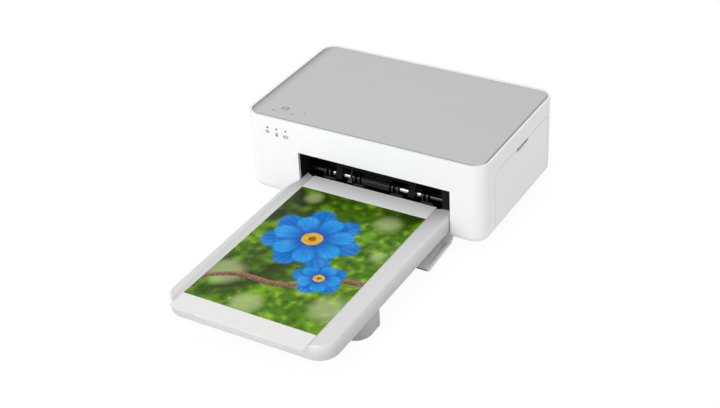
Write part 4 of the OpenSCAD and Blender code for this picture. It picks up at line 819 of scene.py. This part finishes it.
# %% Hood, cheek and left wall
mouth_back, rim_z, low_z = 24, 18.6, 10.8
hood_top, cheek_x, cheek_y = mouth_top + 1, paper_x + 58.3, roll_y - 8.6
hood = block("mouth_hood", (mouth_x0 - 1, wall + 0.1, low_z + 1.2), (mouth_x1 + 1, mouth_back + 0.1, hood_top + 0.2))
for low, high in (((mouth_x0 + 0.6, 0, 0), (mouth_x1 - 0.6, mouth_back - 1.6, hood_top - 1.2)),
                  ((paper_x - 54.8, 0, 0), (paper_x + 54.8, mouth_back + 5, roll_z + 5.6)),
                  ((mouth_x0 + 0.4, 0, 0), (mouth_x1 - 0.4, mouth_back + 5, rim_z + 0.3))):
    combine(hood, block("way", low, high))
cheek = block("cheek", (cheek_x, cheek_y, rim_z + 0.3), (mouth_x1 - 0.4, mouth_back - 0.8, hood_top))
round_edges(cheek, lambda e: near(e, 1, cheek_y) and near(e, 0, cheek_x), 0.8, 4)
wall_low, wall_high = (mouth_x0 + 0.3, wall + 0.6, rim_z + 0.4), (mouth_x0 + 0.9, mouth_back - 1.8, hood_top - 0.6)
walls = join("mouth_walls", [cheek, block("left_wall", wall_low, wall_high)])
for piece in (hood, walls):
    combine(piece, along_shaft("bush_seat", mouth_x0 - 3, mouth_x1 + 3, 3.2))
combine(hood, pin("idler_seat", (mouth_x0 - 3, roll_y, 13.85), (mouth_x1 + 3, roll_y, 13.85), 1.1, 24))

# %% Hanging fingers with their tie bar, and the fin
finger_y, finger_t, finger_w, finger_side, bend = roll_y - 5.2, 2.6, 5.6, 30.1, 3
back_y = finger_y + bend
profile = arc(finger_y + finger_t / 2, roll_z - 0.8, finger_t / 2, 180, 360, 8)
front_side = [(finger_y, roll_z + 1.3), (back_y, roll_z + 5.8), (back_y, hood_top - 0.4)]
profile += [(y + finger_t, z) for y, z in front_side] + front_side[::-1]
fingers = []
for side in (-finger_side, finger_side):
    x = roll_x + side - finger_w / 2
    fingers.append(soften(outline("finger", [(x, y, z) for y, z in profile], (finger_w, 0, 0)), 0.45, 3, 50))
tie = block("tie", (roll_x - 30, back_y, roll_z + 7.3), (roll_x + 30, back_y + finger_t, roll_z + 8.5))
fingers.append(soften(tie, 0.25, 2))
fin_x, fin_y, fin_t, fin_d = roll_x - 19.3, roll_y - 4.6, 1.2, 1.4
points = [(0, -3), (0, 2.2), (-fin_t, 2.2), (-4.2, -3)]
fin = outline("print_fin", [(fin_x + x, fin_y, roll_z + z) for x, z in points], (0, fin_d, 0))
soften(fin, 0.15, 2)
points = [(0, 1.6), (fin_d, 1.6), (4.6, 7.6), (4.6 - fin_d, 7.6)]
fingers.append(outline("stem", [(fin_x - fin_t, fin_y + y, roll_z + z) for y, z in points], (fin_t, 0, 0)))
combs = join("mouth_fingers", fingers)
# the walls' lighter black is painted light
for piece, paint in ((hood, mouth_black), (walls, lit_wall_black), (combs, finger_grey), (fin, fin_grey)):
    smooth(piece)
    settle(piece, "printer", "black_plastic", paint, "mouth_frame")

# %% [markdown]
# ## Paper tray
# The tray is two mouldings: a tub and a cover whose top is dished for the print. Both share one outline, which is
# drawn as a ring of points with round front corners and a soft shoulder where it grows wider outside the printer.
# Two wings carry the cover's side rims on into the mouth, up to the back end of the print.


# %% Tray outline
tray_left, tray_x0, tray_x1, tray_front, tray_z, lid_z = -56.2, -51.6, 70.8, -166.4, 6.1, 13.1


def tray_plan(inset, back, level):
    """The tray's outline, drawn in by inset."""
    left, right_x, front = tray_left + inset, tray_x1 - inset, tray_front + inset
    radius = 14 - inset
    ring = arc(right_x - radius, front + radius, radius, 0, -90, 14)
    ring += arc(left + radius, front + radius, radius, -90, -180, 14)
    ring += [(left, -19), (left + 0.25, -15.6), (left + 1.0, -12.4), (tray_x0 + inset - 1.0, -4.6)]
    ring += [(tray_x0 + inset - 0.2, -2), (tray_x0 + inset, 0.5), (tray_x0 + inset, back), (right_x, back)]
    return [(x, y, level) for x, y in ring]


# %% Tub
print_l, print_w, print_front_rise, tray_wall = 182, 101.6, 2.3, 1.8
tub = outline("tray_tub", tray_plan(0, 4, tray_z), (0, 0, 6.9))
round_edges(tub, lambda e: near(e, 2, tray_z, 0.02), 1.6, 5)
sink_top(tub, tray_wall, 5.7)
inner = block("tongue", (tray_x0, 0, tray_z), (tray_x1, 38, 10.8))
round_edges(inner, lambda e: near(e, 2, tray_z, 0.02) and not near(e, 1, 0), 0.8, 3)
combine(tub, inner, "UNION")
combine(tub, block("tongue_room", (tray_x0 + tray_wall, -6, tray_z + 1.2), (tray_x1 - tray_wall, 36.2, 20)))
for x in (paper_x - print_w / 2 - 1.9, paper_x + print_w / 2 + 0.5):
    combine(tub, block("fence", (x, -130, 7.2), (x + 1.4, 36.3, 11.2)), "UNION")
combine(tub, block("front_stop", (-17, -148.3, 7.2), (23, -146.9, 11.2)), "UNION")
soften(tub, 0.06, 1)
smooth(tub)
settle(tub, "tray", "tray_white", tray_grey, "tray_base")

# %% Cover with its dish
slope_deg = math.degrees(math.asin(print_front_rise / print_l))
floor_z, print_back = 15.2, 11.5


def tilted(piece):
    """Turns a piece drawn level into the slope of the print, about its back edge."""
    turn_about_x(piece, -slope_deg, print_back, floor_z)
    return piece


cover = outline("tray_cover", tray_plan(0, 4, lid_z), (0, 0, rim_z - lid_z))
round_edges(cover, lambda e: near(e, 2, rim_z, 0.02), 1.5, 6)
low_l, low_r = paper_x - print_w / 2 + 0.3, paper_x + print_w / 2 + 2.6
high_l, high_r = tray_left + 2.4, tray_x1 - 2.4
dish_d, cutter_d = rim_z - floor_z, 6
spill = (cutter_d - dish_d) / dish_d
wide_l, wide_r = high_l - (low_l - high_l) * spill, high_r + (high_r - low_r) * spill
dish_points = [(low_l, 0), (low_r, 0), (wide_r, cutter_d), (wide_l, cutter_d)]
combine(cover, tilted(outline("dish", [(x, 30, floor_z + z) for x, z in dish_points], (0, -240, 0))))
under_room = outline("under_room", tray_plan(tray_wall, 2.8, lid_z - 1), (0, 0, 8))
slab = tilted(block("slab", (-120, -230, floor_z - 12), (120, 40, floor_z - 1.8)))
combine(under_room, slab, "INTERSECT")
combine(cover, under_room)
for x in (tray_x0 + 2.1, tray_x1 - 3.6):
    combine(cover, block("runner", (x, -52, lid_z - 1.6), (x + 1.5, 0, lid_z + 0.2)), "UNION")
shelf_z, wing_z = 15.16, 15.28
left_wing = [(tray_x0, shelf_z), (low_l + 4, shelf_z), (low_l + 4, wing_z), (low_l, wing_z), (tray_x0, 17.4)]
right_wing = [(low_r - 4, wing_z), (low_r - 4, shelf_z), (tray_x1, shelf_z), (tray_x1, rim_z), (high_r, rim_z),
              (low_r, wing_z)]
for points in (left_wing, right_wing):
    combine(cover, outline("wing", [(x, 3.8, z) for x, z in points], (0, 6.7, 0)), "UNION")
soften(cover, 0.06, 1, 50)
smooth(cover, 30)
settle(cover, "tray_cover", "tray_white", tray_grey, "tray_lid")

# %% Foot under the tray
foot_l, foot_r, foot_back, foot_front = tray_left + 1.1, tray_x1 - 1.1, -99.5, -123
foot_bottom = -shell_low.z / mm
foot = block("tray_foot_cup", (foot_l, foot_front, foot_bottom), (foot_r, foot_back, tray_z))
round_edges(foot, lambda e: runs(e, 2) and near(e, 1, foot_front), 12, 12)
sink_top(foot, 2, tray_z - 1.6 - foot_bottom)
soften(foot, 0.5, 3)
smooth(foot)
settle(foot, "tray", "foot_grey", foot_grey, "tray_foot")

# %% [markdown]
# ## The print
# A finished print is one glossy sheet with two plain ends that tear off. The picture on it is an invented garden
# scene: soft green foliage, two blue flowers with yellow middles and a brown twig. It is drawn by formulas, so it
# stays sharp at any size. u and v run from 0 to 1 over the picture. The sheet lies slightly askew in the dish, and
# its front left corner curls up a little.

# %% Garden and flowers
def foliage(paint, u, v):
    """Leaves far out of focus: three scales of soft blots, from deep shade to sunlit green."""
    far = paint.noise(0.022, 0)
    middle = paint.noise(0.06, 1, rough=0.35)
    near_leaves = paint.noise(0.16, 1, rough=0.35)
    green = paint.mix(far.rise(0.3, 0.66), (0.016, 0.03, 0.002), (0.075, 0.20, 0.004))
    green = paint.mix(middle.rise(0.44, 0.74), green, (0.17, 0.36, 0.012))
    green = paint.mix(near_leaves.rise(0.5, 0.8) * far.rise(0.36, 0.62) * 0.8, green, (0.33, 0.52, 0.04))
    green = paint.mix((1 - near_leaves.rise(0.26, 0.5)) * 0.65, green, (0.016, 0.045, 0.002))
    for cu, cv, size, soft in ((0.80, 0.88, 0.085, 0.05), (0.16, 0.93, 0.06, 0.035), (0.93, 0.18, 0.12, 0.06),
                               (0.10, 0.22, 0.13, 0.05), (0.42, 0.06, 0.10, 0.04), (0.93, 0.62, 0.05, 0.03)):
        ring = ((u - cu) ** 2 + ((v - cv) * 1.46) ** 2).sqrt()
        green = paint.mix((1 - ring.rise(size - soft, size + soft)) * 0.62, green, (0.46, 0.56, 0.24))
    return green


def blossom(paint, scene, du, dv, size, petals, start):
    """A blue flower in two rings of petals, with a yellow middle."""
    reach = (du ** 2 + dv ** 2).sqrt() / size
    turn = paint.node("Math", {"operation": "ARCTAN2"}, {0: dv, 1: du}) + start
    fine = paint.noise(0.5, 3)
    for ring_size, shift, deep, pale in ((1.0, 0.0, (0.0, 0.035, 0.30), (0.0, 0.20, 0.66)),
                                         (0.8, math.pi / petals, (0.0, 0.07, 0.46), (0.01, 0.36, 0.86))):
        wave = ((turn + shift) * (petals / 2)).cos()
        lobe = ring_size * (0.56 + 0.40 * abs(wave) ** 0.6 + 0.16 * (paint.noise(0.05, 2) - 0.35))
        inside = 1 - (reach / lobe).rise(0.94, 1.05)
        vein = ((turn + shift) * (petals * 6) + 3 * fine).sin() * 0.5 + 0.5
        blue = paint.mix((reach / lobe).rise(0.15, 1.0), deep, pale)
        blue = paint.mix((1 - abs(wave).rise(0.0, 0.7)) * 0.6, blue, (0.0, 0.03, 0.25))
        blue = paint.mix(paint.noise(0.09, 3).rise(0.45, 0.7) * 0.35, blue, (0.10, 0.42, 0.85))
        blue = paint.mix(vein * 0.28 * reach.rise(0.2, 0.8), blue, deep)
        scene = paint.mix(inside, scene, blue)
    heart = 1 - (reach + 0.05 * fine).rise(0.21, 0.25)
    yolk = paint.mix(paint.noise(1.1, 3).rise(0.35, 0.65), (0.62, 0.22, 0.004), (0.95, 0.62, 0.02))
    scene = paint.mix(heart, scene, yolk)
    return paint.mix((1 - reach.rise(0.06, 0.10)) * 0.85, scene, (0.16, 0.07, 0.01))


# %% Print material
print_skew, print_shift, picture_front, picture_l = 0.0049, 1.36, -155.34, 149.7


def picture_paper():
    """Photo paper with a picture between two plain ends."""
    paint = Paint("photo_print", (0.9, 0.9, 0.89), 0.3, Specular_IOR_Level=0.12)
    x, y, z = paint.axes(paint.place())
    y = y - shell_low.y / mm
    u = (x + print_skew * y - (paper_x + print_shift - print_w / 2)) / print_w
    v = (y - print_skew * x - picture_front) / picture_l
    garden = foliage(paint, u, v)
    bark = paint.noise(0.9, 3)
    bend = v - 0.15 - 0.24 * u - 0.03 * (u * 9).sin()
    width = 0.016 + 0.006 * paint.noise(0.08, 2)
    twig = 1 - (abs(bend) / width).rise(0.75, 1.15)
    wood = paint.mix((bend / width).rise(-0.8, 0.9), (0.05, 0.016, 0.01), (0.27, 0.11, 0.07))
    wood = paint.mix(bark.rise(0.4, 0.62) * 0.7, wood, (0.42, 0.25, 0.18))
    scene = paint.mix(twig, garden, wood)
    for cu, cv, size, petals, start in ((0.70, 0.36, 0.19, 5, 0.5), (0.42, 0.62, 0.36, 7, 0.0)):
        scene = blossom(paint, scene, u - cu, (v - cv) * 1.46, size, petals, start)
    within = (v > 0) * (v < 1)
    facing = paint.axes(paint.node("NewGeometry", {}, {}, "Normal"))[2] > 0.5
    fibre = paint.noise(1.2, 3)
    # painted light: the back tab, in the printer's shade, is painted paler than the front tab of the same paper
    front = paint.mix(fibre, (0.785, 0.785, 0.78), (0.805, 0.805, 0.80))
    white = paint.mix((v > 0.5), front, (0.96, 0.96, 0.955))
    tear = 1 - abs(abs(v - 0.5) - 0.5).rise(0.0006, 0.0016)
    ends = paint.mix(tear * 0.35, white, (0.5, 0.5, 0.5))
    paint.set("Base Color", paint.mix(within * facing, ends, scene))
    paint.set("Roughness", 0.26 + 0.06 * fibre)
    paint.bump(paint.noise(0.5, 2), 0.004)
    return paint.material


print_paint = picture_paper()

# %% Print sheet
extra_l, sheet_z = 1.8, 15.25
sheet_low = (paper_x - print_w / 2, print_back - extra_l - print_l, sheet_z)
sheet = block("print_sheet", sheet_low, (paper_x + print_w / 2, print_back, sheet_z + print_t))
pick(sheet, "FACE", lambda face: True)
bpy.ops.mesh.subdivide(number_cuts=23)
only(sheet)
tilted(sheet)
for corner in sheet.data.vertices:
    x, y, z = of(corner.co)
    across, along = (x - paper_x) / (print_w / 2), (print_back - y) / print_l
    lift = 0.1 - 0.1 * along ** 2 + 0.62 * along ** 2 * (1 - across) + 0.08 * math.sin(along * 7) * abs(across)
    corner.co.z += mm * lift
skew = Matrix.Rotation(print_skew, 4, "Z")
sheet.data.transform(Matrix.Translation(at(print_shift, 0, 0)) @ skew @ Matrix.Translation(-at(0, 0, 0)))
soften(sheet, 0.05, 1)
smooth(sheet)
settle(sheet, "print", "photo_paper", print_paint, "photo_print")

# %% [markdown]
# ## Finishes for the CAD nodes
# Everything inside keeps its CAD shape. A table says which finish each node takes.

# %% Carried-over nodes
finishes = {
    "shell_white": (shell_white, "base_plate"),
    "mouth_black": (mouth_black, "exit_guide", "paper_guide", "feed_ramp", "power_inlet"),
    "lens_smoke": (lens_smoke, "light_pipe"),
    "rubber_black": (rubber_black, "rubber_feet"),
    "rubber_grey": (rubber_grey, "pickup_roller", "platen_roller", "pinch_roller"),
    "roller_black": (roller_black, "exit_idlers"),
    "steel": (steel, "base_screws", "flap_hinge_pins", "door_hinge_pins", "pickup_shaft",
              "platen_shaft", "feed_roller", "gear_axles", "head_pivot_shaft", "head_springs", "drive_motor",
              "lift_plate", "lift_spring"),
    "zinc_sheet": (zinc_sheet, "chassis_left", "chassis_right", "head_crossbar", "motor_bracket"),
    "brass": (brass, "bearing_bushes", "motor_pinion"),
    "aluminium": (aluminium, "head_bracket"),
    "glazed_bar": (glazed_bar, "thermal_head"),
    "gear_cream": (gear_cream, "eject_gear", "pickup_gear", "feed_gear", "platen_gear", "lower_idler_gear",
                   "large_idler_gear", "small_idler_gear", "reduction_gear", "takeup_gear"),
    "cartridge_grey": (cartridge_grey, "takeup_spool", "supply_spool", "cartridge_frame"),
    "board_green": (board_green, "button_board", "main_board"),
    "ribbon_dyes": (ribbon_dyes, "ribbon_film"),
    "paper_white": (paper_white, "paper_stack"),
}
for label, (paint, *names) in finishes.items():
    for name in names:
        node = nodes[name]
        if node.data.materials:
            for index in range(len(node.data.materials)):
                node.data.materials[index] = paint
        else:
            node.data.materials.append(paint)
    print(f"{label}: {len(names)} nodes")
bare = [name for name, node in nodes.items() if not node.hide_render
        and name not in {n for row in finishes.values() for n in row[1:]}]
print(f"nodes without a finish: {bare}")

# %% [markdown]
# ## Floor
# The floor is a wide plane. The camera sees it almost as plain white light, with a little of the real shading
# left in, so that the printer still casts a faint shadow.

# %% Floor
only(None)
bpy.ops.mesh.primitive_plane_add(size=12, location=(0, 0, 0))
floor = bpy.context.object
floor.name = "studio_floor"
floor_paint = Paint("floor_white", (0.8, 0.8, 0.8), 0.9)
tree = floor_paint.tree
rays = ("Is Camera Ray", "Is Glossy Ray", "Is Transmission Ray")
camera_ray, glossy_ray, passing_ray = (floor_paint.node("LightPath", {}, {}, name) for name in rays)
seen = camera_ray.most(glossy_ray).most(passing_ray) * 0.9
glow = tree.nodes.new("ShaderNodeEmission")
glow.inputs["Color"].default_value = (1, 1, 1, 1)
glow.inputs["Strength"].default_value = 1.04
blend = tree.nodes.new("ShaderNodeMixShader")
feed(tree, blend.inputs[0], seen)
tree.links.new(floor_paint.surface.outputs[0], blend.inputs[1])
tree.links.new(glow.outputs[0], blend.inputs[2])
tree.links.new(blend.outputs[0], tree.nodes["Material Output"].inputs["Surface"])
floor.data.materials.append(floor_paint.material)

only(None)
